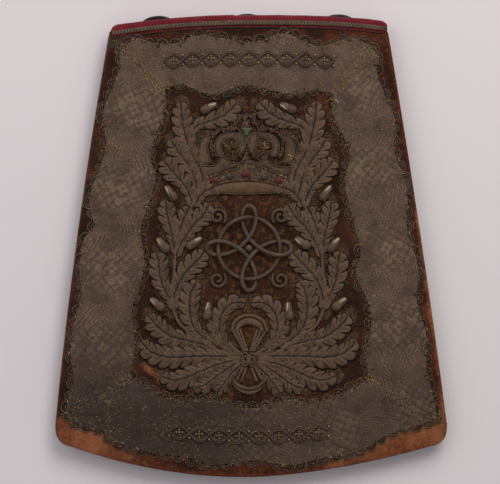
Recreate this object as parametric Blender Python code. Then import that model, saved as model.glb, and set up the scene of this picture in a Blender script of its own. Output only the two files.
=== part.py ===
"""A hussar's sabretache, lying on its back.

The flat dress pouch has a stiff leather flap faced with velvet, a border of metal lace, and raised
embroidery: two oak branches tied with a bow, a crown, and a scroll knot. Behind the flap is a shallow
leather pocket. The top edge is a rolled crimson binding, and three D-rings hang in leather tabs below it.

X runs across the pouch, Y up it, and Z from the surface it lies on to its face. Sizes are in millimetres
and become metres when a mesh is made.
"""

from math import asin, atan2, cos, hypot, pi, radians, sin, sqrt

import bmesh
import bpy
from mathutils import Matrix, Vector

MM = 0.001
GAP = 0.3

# Outline of the flap, seen from the front
SIDE_TOP_LEFT = (-110.9, 163.5)
SIDE_TOP_RIGHT = (107.5, 161.2)
SIDE_FOOT_LEFT = (-152.6, -139.0)
SIDE_FOOT_RIGHT = (152.6, -139.0)
BOW_LEFT = 3.0
BOW_RIGHT = 1.5
FOOT_TIP = (-5.0, -181.2)
FOOT_RISE = 24.0
FOOT_HALF_LEFT = 136.0
FOOT_HALF_RIGHT = 145.0
FOOT_POWER_LEFT = 2.0
FOOT_POWER_RIGHT = 1.7
CORNER = 12.0
CORNER_RISE = 3.0
CORNER_OUT = 0.6
CORNER_UP = 1.6
CORNER_STEPS = 5
TOP_PEAK = 179.4
TOP_FALL_LEFT = 8.1
TOP_FALL_RIGHT = 5.0
TOP_HALF = 107.0
TOP_POWER_LEFT = 2.0
TOP_POWER_RIGHT = 3.0

# Heights of the layers above the surface it lies on
BOARD = 2.5
POCKET_LEATHER = 1.8
GUSSET_LEATHER = 1.5
GUSSET_TOP = 8.6
POCKET_Z = GUSSET_TOP + GAP
FLAP_Z = 11.0
VELVET = 1.5
VELVET_Z = FLAP_Z + BOARD + GAP
FACE_Z = VELVET_Z + VELVET
WORK_Z = FACE_Z + GAP
LACE = 1.0

# The flap is arched a little across its width, and droops at its foot
ARCH = 2.2
ARCH_HALF = 153.0
ARCH_STEPS = 7
DROOP = 1.5
DROOP_FROM = -60.0
DROOP_TO = -181.2
DROOP_STEPS = 4

# How far each layer stays inside the flap's outline
BACK_INSET = 4.0
BACK_TOP = 150.0
BACK_TOP_SPAN = (-101.0, 98.5)
POCKET_INSET = 10.0
POCKET_MOUTH = 115.0
BOARD_TOP = (163.0, 160.0)
BOARD_TOP_SPAN = (-106.0, 103.0)

# The back rises near the top, to leave room for the rings under it
RISE = 7.0
RISE_FROM = 119.0
RISE_TO = 147.0
RISE_STEPS = 6

# Top binding and braid, measured down from the top line
BINDING_DEPTH = 9.0
BINDING_BACK_DEPTH = 6.2
BINDING_NOSE = 5.0
BINDING_WALL = 1.5
BINDING_Z = 5.2
BINDING_SPAN = (-109.0, 106.0)
BINDING_ENDS = (0.0, 1.2, 3.5, 9.0)
BINDING_ROUND = 5.0
BINDING_END_DEPTH = 0.5
BINDING_TURNS = 4
BOARD_TOP_INSET = 5.3
BRAID_TOP = 4.6
BRAID_FOOT = 8.2
BRAID = 0.9
BRAID_SPAN = (-108.6, 105.6)

# Where the velvet's two sides end
VELVET_TOP_LEFT = 161.2
VELVET_TOP_RIGHT = 164.6
VELVET_TOP_SHY = 2.5

# Rings and their tabs
WIRE = 1.5
RING_HALF = 14.5
RING_DEPTH = 12.5
RING_AXIS_Z = 3.35
RING_REST_Z = 1.55
RING_CORNER = 2.5
RING_SIDES = 6
RING_BOW_STEPS = 12
RING_CORNER_STEPS = 3
TAB_HALF = 9.0
TAB_LEATHER = 1.4
TAB_BORE = 1.9
TAB_LENGTH = 17.0
TAB_TURN = 240.0
TAB_STEPS = 8
TAB_NECK = ((-5.6, -0.9), (-7.6, 0.0))
RINGS = (
    # name, x, y of its outer top
    ("left", -72.5, 179.6),
    ("middle", -3.0, 181.2),
    ("right", 68.5, 180.8),
)

# Lace edges: a row for each pucker, across and up
LACE_OUTER_TOP = (
    (-104.7, 154.2), (-91.4, 162.8), (-78.9, 159.7), (-59.4, 159.7), (-39.9, 166.6), (-12.6, 162.0),
    (4.5, 161.2), (27.9, 167.4), (53.7, 157.3), (79.4, 163.2), (94.2, 157.3), (101.6, 148.4),
)
LACE_OUTER_RIGHT = (
    (101.6, 148.4), (100.5, 136.3), (106.7, 118.3), (114.8, 98.8), (114.5, 75.4), (120.7, 56.7),
    (125.4, 42.7), (124.6, 13.0), (133.6, -18.2), (132.4, -47.0), (139.0, -68.9), (139.5, -97.7),
    (144.9, -121.1), (147.4, -138.1),
)
LACE_OUTER_BOTTOM = (
    (147.4, -138.1), (128.0, -144.5), (112.2, -149.2), (82.5, -164.8), (57.6, -169.5), (30.3, -175.0),
    (8.4, -171.8), (-8.7, -171.8), (-29.8, -175.0), (-51.6, -168.7), (-78.9, -164.8), (-103.9, -158.4),
    (-117.9, -147.7), (-133.5, -144.5), (-147.0, -134.6),
)
LACE_OUTER_LEFT = (
    (-147.0, -134.6), (-146.6, -125.0), (-141.3, -105.5), (-144.0, -76.0), (-135.9, -40.8),
    (-137.4, -18.2), (-133.5, 3.7), (-125.7, 15.4), (-129.6, 36.8), (-116.4, 75.4), (-118.9, 101.2),
    (-111.7, 122.2), (-105.6, 138.2), (-104.7, 154.2),
)
LACE_INNER_TOP = (
    (-64.9, 118.3), (-51.6, 121.8), (-28.2, 113.6), (-4.1, 120.7), (27.9, 114.4), (47.4, 117.2),
    (61.5, 115.2),
)
LACE_INNER_RIGHT = (
    (61.5, 115.2), (61.5, 97.3), (73.2, 71.5), (70.0, 47.3), (73.2, 28.6), (81.7, -4.1), (78.6, -22.9),
    (90.3, -52.5), (86.4, -88.4), (90.3, -102.4),
)
LACE_INNER_BOTTOM = (
    (90.3, -102.4), (67.7, -113.3), (45.9, -121.1), (27.9, -117.2), (-0.9, -124.3), (-32.1, -117.2),
    (-51.6, -118.8), (-68.8, -115.7), (-81.3, -106.3), (-91.4, -100.9),
)
LACE_INNER_LEFT = (
    (-91.4, -100.9), (-87.5, -74.3), (-89.9, -50.9), (-85.2, -35.3), (-79.7, -13.5), (-82.8, 9.9),
    (-77.4, 28.6), (-71.1, 50.5), (-75.0, 64.5), (-72.7, 80.1), (-64.1, 102.7), (-64.9, 118.3),
)
LACE_SHY = 0.2
EDGING_OFFSET = 1.2
EDGING_HALF = 0.9
EDGING_HIGH = 1.2

# Oak leaves of the left branch: name, half width, points along the midrib from tip to base
LEAVES = (
    ("crest", 8.0, ((-54.8, 109.7), (-54.4, 97.3), (-53.2, 85.6), (-48.4, 68.0))),
    ("crest_inner", 5.6, ((-12.6, 109.0), (-18.1, 102.4), (-32.1, 97.2), (-46.4, 88.0))),
    ("upper_outer", 7.6, ((-61.8, 80.1), (-58.1, 72.3), (-52.3, 62.2), (-45.0, 48.4))),
    ("upper_low", 8.0, ((-66.5, 63.7), (-57.1, 52.0), (-48.5, 40.3), (-45.4, 30.3))),
    ("upper_inner", 6.0, ((-32.8, 40.4), (-38.8, 37.8), (-45.4, 28.7))),
    ("middle_outer", 6.4, ((-66.5, 32.5), (-64.9, 24.7), (-61.8, 13.0), (-58.7, -4.1))),
    ("middle_inner", 5.2, ((-34.5, 29.4), (-39.9, 19.3), (-50.9, 9.9), (-58.5, -4.2))),
    ("waist_outer", 7.4, ((-71.5, -8.0), (-69.8, -21.3), (-67.6, -30.1), (-60.8, -43.1))),
    ("waist_inner", 8.0, ((-37.6, -6.5), (-46.2, -16.6), (-57.1, -26.0), (-61.0, -43.1))),
    ("low_inner", 8.8, ((-43.1, -30.7), (-47.7, -39.2), (-47.7, -54.8), (-35.0, -77.4))),
    ("low_outer", 8.0, ((-78.2, -57.2), (-71.1, -66.5), (-59.4, -72.8), (-36.0, -76.9))),
    ("foot_outer", 8.8, ((-83.2, -75.9), (-76.9, -83.1), (-60.0, -87.6), (-24.2, -86.0))),
    ("foot_low", 8.0, ((-68.8, -101.6), (-58.0, -104.4), (-47.7, -101.6), (-15.5, -87.5))),
    ("tail_outer", 5.4, ((-37.0, -109.4), (-28.0, -102.2), (-16.0, -87.6))),
    ("tail_inner", 4.4, ((-27.6, -112.0), (-22.0, -103.6), (-13.4, -88.6))),
    ("heart", 6.4, ((-8.6, -45.5), (-17.0, -47.3), (-23.6, -58.7), (-22.0, -74.3), (-11.0, -87.0))),
)
STEM = (
    (-9.6, -89.4), (-24.0, -84.0), (-40.0, -74.0), (-56.0, -61.0), (-61.5, -43.0), (-60.0, -20.0),
    (-58.5, -2.0), (-52.0, 16.0), (-46.0, 31.0), (-44.2, 44.0), (-46.6, 56.0), (-48.6, 70.0), (-47.0, 90.0),
)
STEM_HALF = 1.6
STEM_HIGH = 0.8
STEM_LEVEL = 0.05
BRANCH_MIRROR = -2.1
LEAF_RIDGE = 2.0
LEAF_LEVEL = 0.011
LEAF_PROFILE = (
    # share of the length from the tip, share of the half width, share of the ridge's height
    (0.0, 0.14, 0.45),
    (0.14, 0.82, 1.0),
    (0.32, 1.0, 1.0),
    (0.56, 0.9, 1.0),
    (0.78, 0.58, 0.9),
    (1.0, 0.34, 0.8),
)

# Acorns of the left branch: tip, and a point towards the base
ACORNS = (
    ((-66.5, 45.8), (-57.1, 32.5)),
    ((-73.0, 5.2), (-61.8, -8.8)),
    ((-38.4, 5.2), (-57.1, -6.5)),
    ((-78.4, -41.6), (-61.8, -55.6)),
    ((-32.9, -44.7), (-34.5, -60.3)),
    ((-26.7, 109.7), (-39.9, 103.5)),
)
ACORN_LENGTH = 14.0
ACORN_HALF = 3.0
ACORN_HIGH = 2.0
ACORN_SIDES = 6
ACORN_RINGS = (
    # share of the length, share of the half width
    (0.0, 0.4), (0.1, 0.95), (0.4, 1.0), (0.46, 0.86), (0.75, 0.75), (1.0, 0.15),
)
ACORN_Z = WORK_Z + ACORN_HIGH

# Ribbon bow
BOW_ARCH = (
    (-4.4, -86.0), (-13.6, -68.5), (-10.6, -58.5), (-1.7, -55.5), (7.2, -58.5), (10.2, -68.5), (0.6, -86.0),
)
BOW_TAIL = (
    (-4.2, -89.0), (-12.0, -105.0), (-8.6, -111.6), (-1.7, -113.4), (5.2, -111.6), (8.6, -105.0), (0.4, -89.0),
)
BOW_HALF = 2.4
BOW_EDGE = 1.0
BOW_HIGH = 1.6
BOW_LEVELS = (0.02, 0.04)
BOW_KNOT = (-1.7, -87.6)
BOW_KNOT_HALF = 4.6
BOW_KNOT_TALL = 5.3
BOW_KNOT_HIGH = 2.6
BOW_KNOT_SIDES = 10

# Crown
CROWN_BASE = ((-31.5, 46.2), (-16.5, 41.9), (-1.7, 39.9), (13.1, 41.5), (26.5, 46.2))
CIRCLET_TOP = ((27.0, 52.0), (10.8, 59.3), (-4.1, 64.3), (-19.7, 58.0), (-34.0, 50.5))
CROWN_TOP = (
    (30.4, 52.9), (36.5, 63.7), (37.3, 74.6), (33.4, 83.2), (25.6, 87.5), (14.7, 90.4), (2.9, 90.4),
    (-4.1, 86.0), (-11.3, 90.4), (-22.8, 89.6), (-35.3, 85.3), (-42.3, 79.9), (-44.6, 73.9),
    (-43.1, 63.7), (-37.4, 51.5),
)
CROWN_HIGH = 2.0
CROWN_SEAT = 0.6
CROWN_GAPS = (
    # across, up, half width, half height
    (-15.0, 76.0, 3.2, 6.0),
    (9.2, 76.5, 3.4, 6.4),
)
CROWN_GAP_SIDES = 10
CROWN_STONES = (
    # across, up, half length, half width, corners, first corner's turn in degrees, class
    (-29.0, 50.3, 3.4, 2.2, 8, 22.5, "red"),
    (-17.3, 53.4, 3.0, 2.6, 8, 22.5, "green"),
    (-4.1, 55.5, 3.8, 2.4, 8, 22.5, "red"),
    (10.0, 52.6, 3.0, 2.6, 8, 22.5, "green"),
    (21.6, 50.1, 3.4, 2.2, 8, 22.5, "red"),
    (-3.4, 88.9, 6.4, 4.4, 3, 30.0, "green"),
)
STONE_HIGH = 1.8
STONE_CUT = (
    # share of the half size, share of the height
    (0.7, 0.0),
    (1.0, 0.35),
    (0.6, 1.0),
)
ORB_PLACE = (-4.1, 94.0)
ORB_HALF = 3.2
ORB_OPEN = 25.0
ORB_STEPS = 12
CROSS_ARM = 1.2
CROSS_BAR = 5.6
CROSS_TOP = 101.6
CROSS_HALF = 3.6

# Scroll knot
KNOT_PLACE = (-1.7, -2.6)
KNOT_REACH = 33.0
KNOT_LOOP = 0.72
KNOT_STEPS = 56
CORD_SIDES = 5
CORD_HALF = 1.5
CORD_HIGH = 1.0
KNOT_WEAVE = 2.4
KNOT_WEAVE_SHARP = 3.0
KNOT_RING = 24.0
KNOT_RING_SHARP = 1.5
KNOT_RING_STEPS = 36
VOLUTE_REACH = 34.6
VOLUTE_START = 6.8
VOLUTE_DRAWN_IN = 0.78
VOLUTE_TURNS = 1.4
VOLUTE_HALF = 1.2
VOLUTE_STEPS = 12
ROSETTE_HALF = 2.6
ROSETTE_RINGS = (
    # share of the half width, height
    (1.0, 0.0),
    (1.0, 0.6),
    (0.5, 1.6),
)

# Ornament rows: middle, half length, rise of the arc's ends, repeats
ROW_TOP = (-1.7, 145.5, 66.0, -2.5, 9)
ROW_BOTTOM = (-1.7, -149.0, 62.0, 4.0, 8)
ROW_REPEAT = (
    # share of a repeat, half width
    (0.0, 0.9),
    (0.5, 6.6),
)
ROW_HIGH = 1.1

COLOURS = {
    # name: colour, roughness, metallic
    "velvet": ((0.055, 0.025, 0.014, 1.0), 0.95, 0.0),
    "metal_lace": ((0.10, 0.075, 0.055, 1.0), 0.55, 0.5),
    "metal_embroidery": ((0.13, 0.09, 0.07, 1.0), 0.5, 0.5),
    "acorn_thread": ((0.30, 0.24, 0.17, 1.0), 0.4, 0.7),
    "crimson_cloth": ((0.20, 0.015, 0.03, 1.0), 0.9, 0.0),
    "braid": ((0.17, 0.13, 0.08, 1.0), 0.6, 0.4),
    "leather": ((0.035, 0.022, 0.016, 1.0), 0.6, 0.0),
    "blackened_metal": ((0.012, 0.013, 0.015, 1.0), 0.4, 0.8),
    "red_stone": ((0.30, 0.015, 0.05, 1.0), 0.15, 0.0),
    "green_stone": ((0.04, 0.20, 0.09, 1.0), 0.15, 0.0),
}


def clear_scene():
    for obj in list(bpy.data.objects):
        bpy.data.objects.remove(obj, do_unlink=True)


def material(name):
    found = bpy.data.materials.get(name)
    if found:
        return found
    colour, rough, metal = COLOURS[name]
    made = bpy.data.materials.new(name)
    made.use_nodes = True
    shader = made.node_tree.nodes["Principled BSDF"]
    shader.inputs["Base Color"].default_value = colour
    shader.inputs["Roughness"].default_value = rough
    shader.inputs["Metallic"].default_value = metal
    made.diffuse_color = colour
    return made


# Outline


def lerp(a, b, t):
    return a + (b - a) * t


def side_x(y, right):
    """The flap's side at height y."""
    top, foot, bow = (
        (SIDE_TOP_RIGHT, SIDE_FOOT_RIGHT, BOW_RIGHT) if right else (SIDE_TOP_LEFT, SIDE_FOOT_LEFT, -BOW_LEFT)
    )
    t = (top[1] - y) / (top[1] - foot[1])
    return lerp(top[0], foot[0], t) + 4 * bow * t * (1 - t)


def foot_y(x):
    """The flap's lower edge at x."""
    half, power = (
        (FOOT_HALF_LEFT, FOOT_POWER_LEFT) if x < FOOT_TIP[0] else (FOOT_HALF_RIGHT, FOOT_POWER_RIGHT)
    )
    return FOOT_TIP[1] + FOOT_RISE * (abs(x - FOOT_TIP[0]) / half) ** power


def top_y(x):
    """The top line, the upper edge of the binding, at x."""
    fall, power = (TOP_FALL_LEFT, TOP_POWER_LEFT) if x < 0 else (TOP_FALL_RIGHT, TOP_POWER_RIGHT)
    return TOP_PEAK - fall * (abs(x) / TOP_HALF) ** power


def bezier(start, middle, end, steps):
    """Points after start and before end, on a curve pulled towards middle."""
    made = []
    for step in range(1, steps):
        t = step / steps
        made.append(
            tuple(
                (1 - t) ** 2 * a + 2 * t * (1 - t) * b + t * t * c for a, b, c in zip(start, middle, end)
            )
        )
    return made


def outline_below(inset, top_left, top_right, side_steps=6, foot_steps=12):
    """The outline from the left top corner down, round the foot and up to the right one."""
    corner_y = SIDE_FOOT_LEFT[1] - CORNER_RISE + inset / 2
    made = []
    for step in range(side_steps + 1):
        y = lerp(top_left, corner_y, step / side_steps)
        made.append((side_x(y, False) + inset, y))
    foot_from = side_x(corner_y, False) + inset + CORNER
    foot_to = side_x(corner_y, True) - inset - CORNER
    start = (foot_from, foot_y(foot_from) + inset)
    made += bezier(made[-1], (made[-1][0] - CORNER_OUT, start[1] + CORNER_UP), start, CORNER_STEPS)
    for step in range(foot_steps + 1):
        x = lerp(foot_from, foot_to, step / foot_steps)
        made.append((x, foot_y(x) + inset))
    up = (side_x(corner_y, True) - inset, corner_y)
    made += bezier(made[-1], (up[0] + CORNER_OUT, made[-1][1] + CORNER_UP), up, CORNER_STEPS)
    for step in range(side_steps + 1):
        y = lerp(corner_y, top_right, step / side_steps)
        made.append((side_x(y, True) - inset, y))
    return made


def top_edge(drop, left, right, steps=12):
    """Points below the top line, from right to left."""
    return [(x, top_y(x) - drop) for x in (lerp(right, left, step / steps) for step in range(steps + 1))]


def smooth(points, steps, closed=False):
    """A smooth curve through the points, with this many steps between neighbours."""
    count = len(points)
    spans = count if closed else count - 1
    made = []
    for span in range(spans):
        near = []
        for offset in (-1, 0, 1, 2):
            index = span + offset
            near.append(points[index % count if closed else min(max(index, 0), count - 1)])
        for step in range(steps):
            t = step / steps
            made.append(
                tuple(
                    b + (c - a) * t / 2 + (a - 2.5 * b + 2 * c - d / 2) * t**2 + (1.5 * (b - c) + (d - a) / 2) * t**3
                    for a, b, c, d in zip(*near)
                )
            )
    if not closed:
        made.append(tuple(points[-1]))
    return made


def offset_loop(points, distance):
    """A closed counter-clockwise loop moved outwards by distance."""
    made = []
    count = len(points)
    for index in range(count):
        before, here, after = (Vector(points[(index + k) % count][:2]) for k in (-1, 0, 1))
        first = (here - before).normalized()
        second = (after - here).normalized()
        normal = Vector((first.y + second.y, -first.x - second.x))
        normal = normal.normalized() if normal.length > 1e-6 else Vector((first.y, -first.x))
        stretch = max(0.5, normal.dot(Vector((first.y, -first.x))))
        made.append(tuple(here + normal * distance / stretch))
    return made


# The flap's form


def stations(start, end, steps):
    return [lerp(start, end, step / steps) for step in range(steps + 1)]


ARCH_AT = stations(-ARCH_HALF, ARCH_HALF, ARCH_STEPS)
DROOP_AT = stations(DROOP_FROM, DROOP_TO, DROOP_STEPS)
RISE_AT = stations(RISE_FROM, RISE_TO, RISE_STEPS)


def between(at, values, place):
    """The value at a place, on straight lines between the stations."""
    rising = at[-1] > at[0]
    if not rising:
        at, values = at[::-1], values[::-1]
    if place <= at[0]:
        return values[0]
    for index in range(1, len(at)):
        if place <= at[index]:
            share = (place - at[index - 1]) / (at[index] - at[index - 1])
            return lerp(values[index - 1], values[index], share)
    return values[-1]


def arch(x):
    return between(ARCH_AT, [ARCH * (1 - (a / ARCH_HALF) ** 2) for a in ARCH_AT], x)


def droop(y):
    depth = DROOP_FROM - DROOP_TO
    return between(DROOP_AT, [-DROOP * ((DROOP_FROM - a) / depth) ** 2 for a in DROOP_AT], y)


def flap_form(x, y):
    """How much higher the flap lies at this place than at its flat sides."""
    return arch(x) + droop(y)


def back_form(_x, y):
    """How much the back board rises towards the rings."""
    heights = [RISE * (3 * s * s - 2 * s**3) for s in stations(0.0, 1.0, RISE_STEPS)]
    return between(RISE_AT, heights, y)


# Meshes


def make_object(name, mesh_bm, finish):
    """An object from a bmesh in millimetres."""
    bmesh.ops.recalc_face_normals(mesh_bm, faces=mesh_bm.faces)
    bmesh.ops.scale(mesh_bm, vec=(MM, MM, MM), verts=mesh_bm.verts)
    mesh = bpy.data.meshes.new(name)
    mesh_bm.to_mesh(mesh)
    mesh_bm.free()
    mesh.materials.append(material(finish))
    obj = bpy.data.objects.new(name, mesh)
    bpy.context.scene.collection.objects.link(obj)
    return obj


def cut_across(mesh_bm, axis, places):
    """Cuts every face along planes square to an axis."""
    for place in places:
        point = Vector((0.0, 0.0, 0.0))
        point[axis] = place
        normal = Vector((0.0, 0.0, 0.0))
        normal[axis] = 1.0
        geometry = mesh_bm.verts[:] + mesh_bm.edges[:] + mesh_bm.faces[:]
        bmesh.ops.bisect_plane(mesh_bm, geom=geometry, dist=1e-5, plane_co=point, plane_no=normal)


def cut_for_flap(mesh_bm):
    cut_across(mesh_bm, 0, ARCH_AT[1:-1])
    cut_across(mesh_bm, 1, DROOP_AT[:-1])


def lift(mesh_bm, form):
    for vert in mesh_bm.verts:
        vert.co.z += form(vert.co.x, vert.co.y)


def prism(outline, low, high):
    """A plate between two heights, as a bmesh."""
    made = bmesh.new()
    below = [made.verts.new((x, y, low)) for x, y in outline]
    above = [made.verts.new((x, y, high)) for x, y in outline]
    made.faces.new(below[::-1])
    made.faces.new(above)
    count = len(outline)
    for index in range(count):
        after = (index + 1) % count
        made.faces.new((below[index], below[after], above[after], above[index]))
    return made


def sweep(made, path, sections, closed):
    """Adds a body that follows a path. Each section lists (across, up) offsets, and turns with the path."""
    count = len(path)
    rings = []
    for index, here in enumerate(path):
        before = path[(index - 1) % count] if closed or index else here
        after = path[(index + 1) % count] if closed or index < count - 1 else here
        along = Vector((after[0] - before[0], after[1] - before[1], 0.0)).normalized()
        across = Vector((along.y, -along.x, 0.0))
        section = sections[index] if isinstance(sections[0][0], (list, tuple)) else sections
        ring = []
        for side, up in section:
            ring.append(made.verts.new(Vector(here) + across * side + Vector((0.0, 0.0, up))))
        rings.append(ring)
    size = len(rings[0])
    for index in range(count if closed else count - 1):
        one, two = rings[index], rings[(index + 1) % count]
        for corner in range(size):
            after = (corner + 1) % size
            made.faces.new((one[corner], one[after], two[after], two[corner]))
    if not closed:
        made.faces.new(rings[0][::-1])
        made.faces.new(rings[-1])
    return made


def close_rings(made, rings):
    """Joins rings of the same size into a closed body."""
    size = len(rings[0])
    for one, two in zip(rings, rings[1:]):
        for corner in range(size):
            after = (corner + 1) % size
            made.faces.new((one[corner], one[after], two[after], two[corner]))
    made.faces.new(rings[0][::-1])
    made.faces.new(rings[-1])


def oval_section(half, high, sides):
    """A closed round section whose foot is at height 0."""
    return [
        (half * cos(2 * pi * k / sides), high + high * sin(2 * pi * k / sides)) for k in range(sides)
    ]


def with_height(points, z):
    return [(x, y, z + flap_form(x, y)) for x, y in points]


def join_bodies(name, bodies, finish):
    """One closed body from several that overlap."""
    base = make_object(name, bodies[0], finish)
    helpers = bpy.data.collections.new(name + "_parts")
    bpy.context.scene.collection.children.link(helpers)
    for index, body in enumerate(bodies[1:]):
        part = make_object(f"{name}_part_{index}", body, finish)
        bpy.context.scene.collection.objects.unlink(part)
        helpers.objects.link(part)
        part.hide_render = True
        part.display_type = "WIRE"
    join = base.modifiers.new("join", "BOOLEAN")
    join.operation = "UNION"
    join.operand_type = "COLLECTION"
    join.collection = helpers
    join.solver = "EXACT"
    return base


# Leather, velvet and binding


def make_back():
    outline = outline_below(BACK_INSET, BACK_TOP, BACK_TOP, 6, 10)
    outline += top_edge(BOARD_TOP_INSET, *BACK_TOP_SPAN, 8)
    body = prism(outline, 0.0, BOARD)
    cut_across(body, 1, RISE_AT)
    lift(body, back_form)
    make_object("back_panel", body, "leather")


def make_pocket():
    outline = outline_below(POCKET_INSET, POCKET_MOUTH, POCKET_MOUTH, 6, 10)
    front = prism(outline, POCKET_Z, POCKET_Z + POCKET_LEATHER)
    cut_for_flap(front)
    lift(front, flap_form)
    make_object("pocket_front", front, "leather")
    inner = outline_below(POCKET_INSET + GUSSET_LEATHER, POCKET_MOUTH, POCKET_MOUTH, 6, 10)
    wall = bmesh.new()
    rings = []
    for (ox, oy), (ix, iy) in zip(outline, inner):
        top = GUSSET_TOP + min(flap_form(ox, oy), flap_form(ix, iy))
        foot = BOARD + GAP
        corners = ((ox, oy, foot), (ox, oy, top), (ix, iy, top), (ix, iy, foot))
        rings.append([wall.verts.new(corner) for corner in corners])
    close_rings(wall, rings)
    make_object("pocket_gusset", wall, "leather")


def make_flap_board():
    inset = VELVET + 3 * GAP
    outline = outline_below(inset, *BOARD_TOP)
    outline += top_edge(BOARD_TOP_INSET, *BOARD_TOP_SPAN, 8)
    body = prism(outline, FLAP_Z, FLAP_Z + BOARD)
    cut_for_flap(body)
    lift(body, flap_form)
    make_object("flap_board", body, "leather")


def make_velvet():
    """The facing is a tray turned down round the board, open along the top edge."""
    outer = outline_below(0.0, VELVET_TOP_LEFT, VELVET_TOP_RIGHT)
    inner = outline_below(VELVET, VELVET_TOP_LEFT, VELVET_TOP_RIGHT)
    drop = BINDING_DEPTH + GAP
    steps = 12
    made = bmesh.new()

    def row(points, z):
        return [made.verts.new((x, y, z)) for x, y in points]

    outer_high, outer_low = row(outer, FACE_Z), row(outer, FLAP_Z)
    inner_low, inner_high = row(inner, FLAP_Z), row(inner, VELVET_Z)
    edge = top_edge(drop, outer[0][0] + VELVET_TOP_SHY, outer[-1][0] - VELVET_TOP_SHY, steps)
    edge_high, edge_low = row(edge, FACE_Z), row(edge, VELVET_Z)
    made.faces.new(outer_high + edge_high)
    made.faces.new((inner_high + edge_low)[::-1])
    for upper, lower in ((outer_high, outer_low), (outer_low, inner_low), (inner_low, inner_high)):
        for index in range(len(upper) - 1):
            made.faces.new((upper[index], lower[index], lower[index + 1], upper[index + 1]))
    for index in range(steps):
        made.faces.new((edge_high[index], edge_high[index + 1], edge_low[index + 1], edge_low[index]))
    made.faces.new((outer_high[-1], outer_low[-1], inner_low[-1], inner_high[-1], edge_low[0], edge_high[0]))
    made.faces.new((edge_high[-1], edge_low[-1], inner_high[0], inner_low[0], outer_low[0], outer_high[0]))
    bmesh.ops.triangulate(made, faces=[face for face in made.faces if len(face.verts) == 6])
    bmesh.ops.recalc_face_normals(made, faces=made.faces)
    cut_for_flap(made)
    lift(made, flap_form)
    make_object("velvet_face", made, "velvet")


def binding_section(depth):
    """The roll's section, as (y below the top line, height), outer side first."""
    half = (FACE_Z - BINDING_Z) / 2
    middle = BINDING_Z + half
    outer = [(-BINDING_DEPTH, FACE_Z)]
    inner = [(-BINDING_DEPTH, FACE_Z - BINDING_WALL)]
    for step in range(BINDING_TURNS + 1):
        turn = pi / 2 - pi * step / BINDING_TURNS
        outer.append((-BINDING_NOSE + depth * cos(turn), middle + half * sin(turn)))
        inner.append(
            (-BINDING_NOSE + (depth - BINDING_WALL) * cos(turn), middle + (half - BINDING_WALL) * sin(turn))
        )
    outer.append((-BINDING_BACK_DEPTH, BINDING_Z))
    inner.append((-BINDING_BACK_DEPTH, BINDING_Z + BINDING_WALL))
    return outer + inner[::-1]


def make_binding():
    """A rolled edge that runs over the top, from the face round to the back."""
    left, right = BINDING_SPAN
    back_top = RISE + BOARD
    places = [left + step for step in BINDING_ENDS]
    places += stations(left + BINDING_ENDS[-1], right - BINDING_ENDS[-1], 8)[1:-1]
    places += [right - step for step in BINDING_ENDS[::-1]]
    made = bmesh.new()
    rings = []
    for x in places:
        end = min(x - left, right - x)
        bulge = 1 - max(0.0, 1 - end / BINDING_ROUND) ** 2
        depth = BINDING_NOSE * sqrt(lerp(BINDING_END_DEPTH**2, 1.0, bulge))
        ring = []
        for y, z in binding_section(depth):
            share = min(1.0, max(0.0, (z - back_top) / (VELVET_Z - back_top)))
            ring.append(made.verts.new((x, top_y(x) + y, z + share * arch(x))))
        rings.append(ring)
    close_rings(made, rings)
    make_object("top_binding", made, "crimson_cloth")


def make_braid():
    outline = [(x, top_y(x) - BRAID_FOOT) for x in stations(*BRAID_SPAN, 10)]
    outline += [(x, top_y(x) - BRAID_TOP) for x in stations(*BRAID_SPAN[::-1], 10)]
    body = prism(outline, WORK_Z, WORK_Z + BRAID)
    cut_across(body, 0, ARCH_AT[1:-1])
    lift(body, flap_form)
    make_object("top_braid", body, "braid")


# Lace


def lace_loop(inner):
    """The whole outer or inner edge of the lace, counter-clockwise."""
    edges = (
        (LACE_INNER_LEFT, LACE_INNER_BOTTOM, LACE_INNER_RIGHT, LACE_INNER_TOP)
        if inner
        else (LACE_OUTER_LEFT, LACE_OUTER_BOTTOM, LACE_OUTER_RIGHT, LACE_OUTER_TOP)
    )
    made = []
    for edge in edges:
        made += smooth(edge[::-1], 2)[:-1]
    return made


def make_lace():
    strips = (
        ("lace_top", LACE_OUTER_TOP, LACE_INNER_TOP),
        ("lace_right", LACE_OUTER_RIGHT, LACE_INNER_RIGHT),
        ("lace_bottom", LACE_OUTER_BOTTOM, LACE_INNER_BOTTOM),
        ("lace_left", LACE_OUTER_LEFT, LACE_INNER_LEFT),
    )
    for name, outer, inner in strips:
        outline = smooth(outer, 2)[::-1] + smooth(inner, 2)
        body = prism(offset_loop(outline, -LACE_SHY), WORK_Z, WORK_Z + LACE)
        cut_for_flap(body)
        lift(body, flap_form)
        make_object(name, body, "metal_lace")


def make_edging():
    for name, inner, way in (("edging_outer", False, 1), ("edging_inner", True, -1)):
        loop = offset_loop(lace_loop(inner), way * EDGING_OFFSET)
        section = oval_section(EDGING_HALF, EDGING_HIGH / 2, 3)
        made = sweep(bmesh.new(), with_height(loop, WORK_Z), section, True)
        make_object(name, made, "metal_embroidery")


# Embroidery


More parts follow.
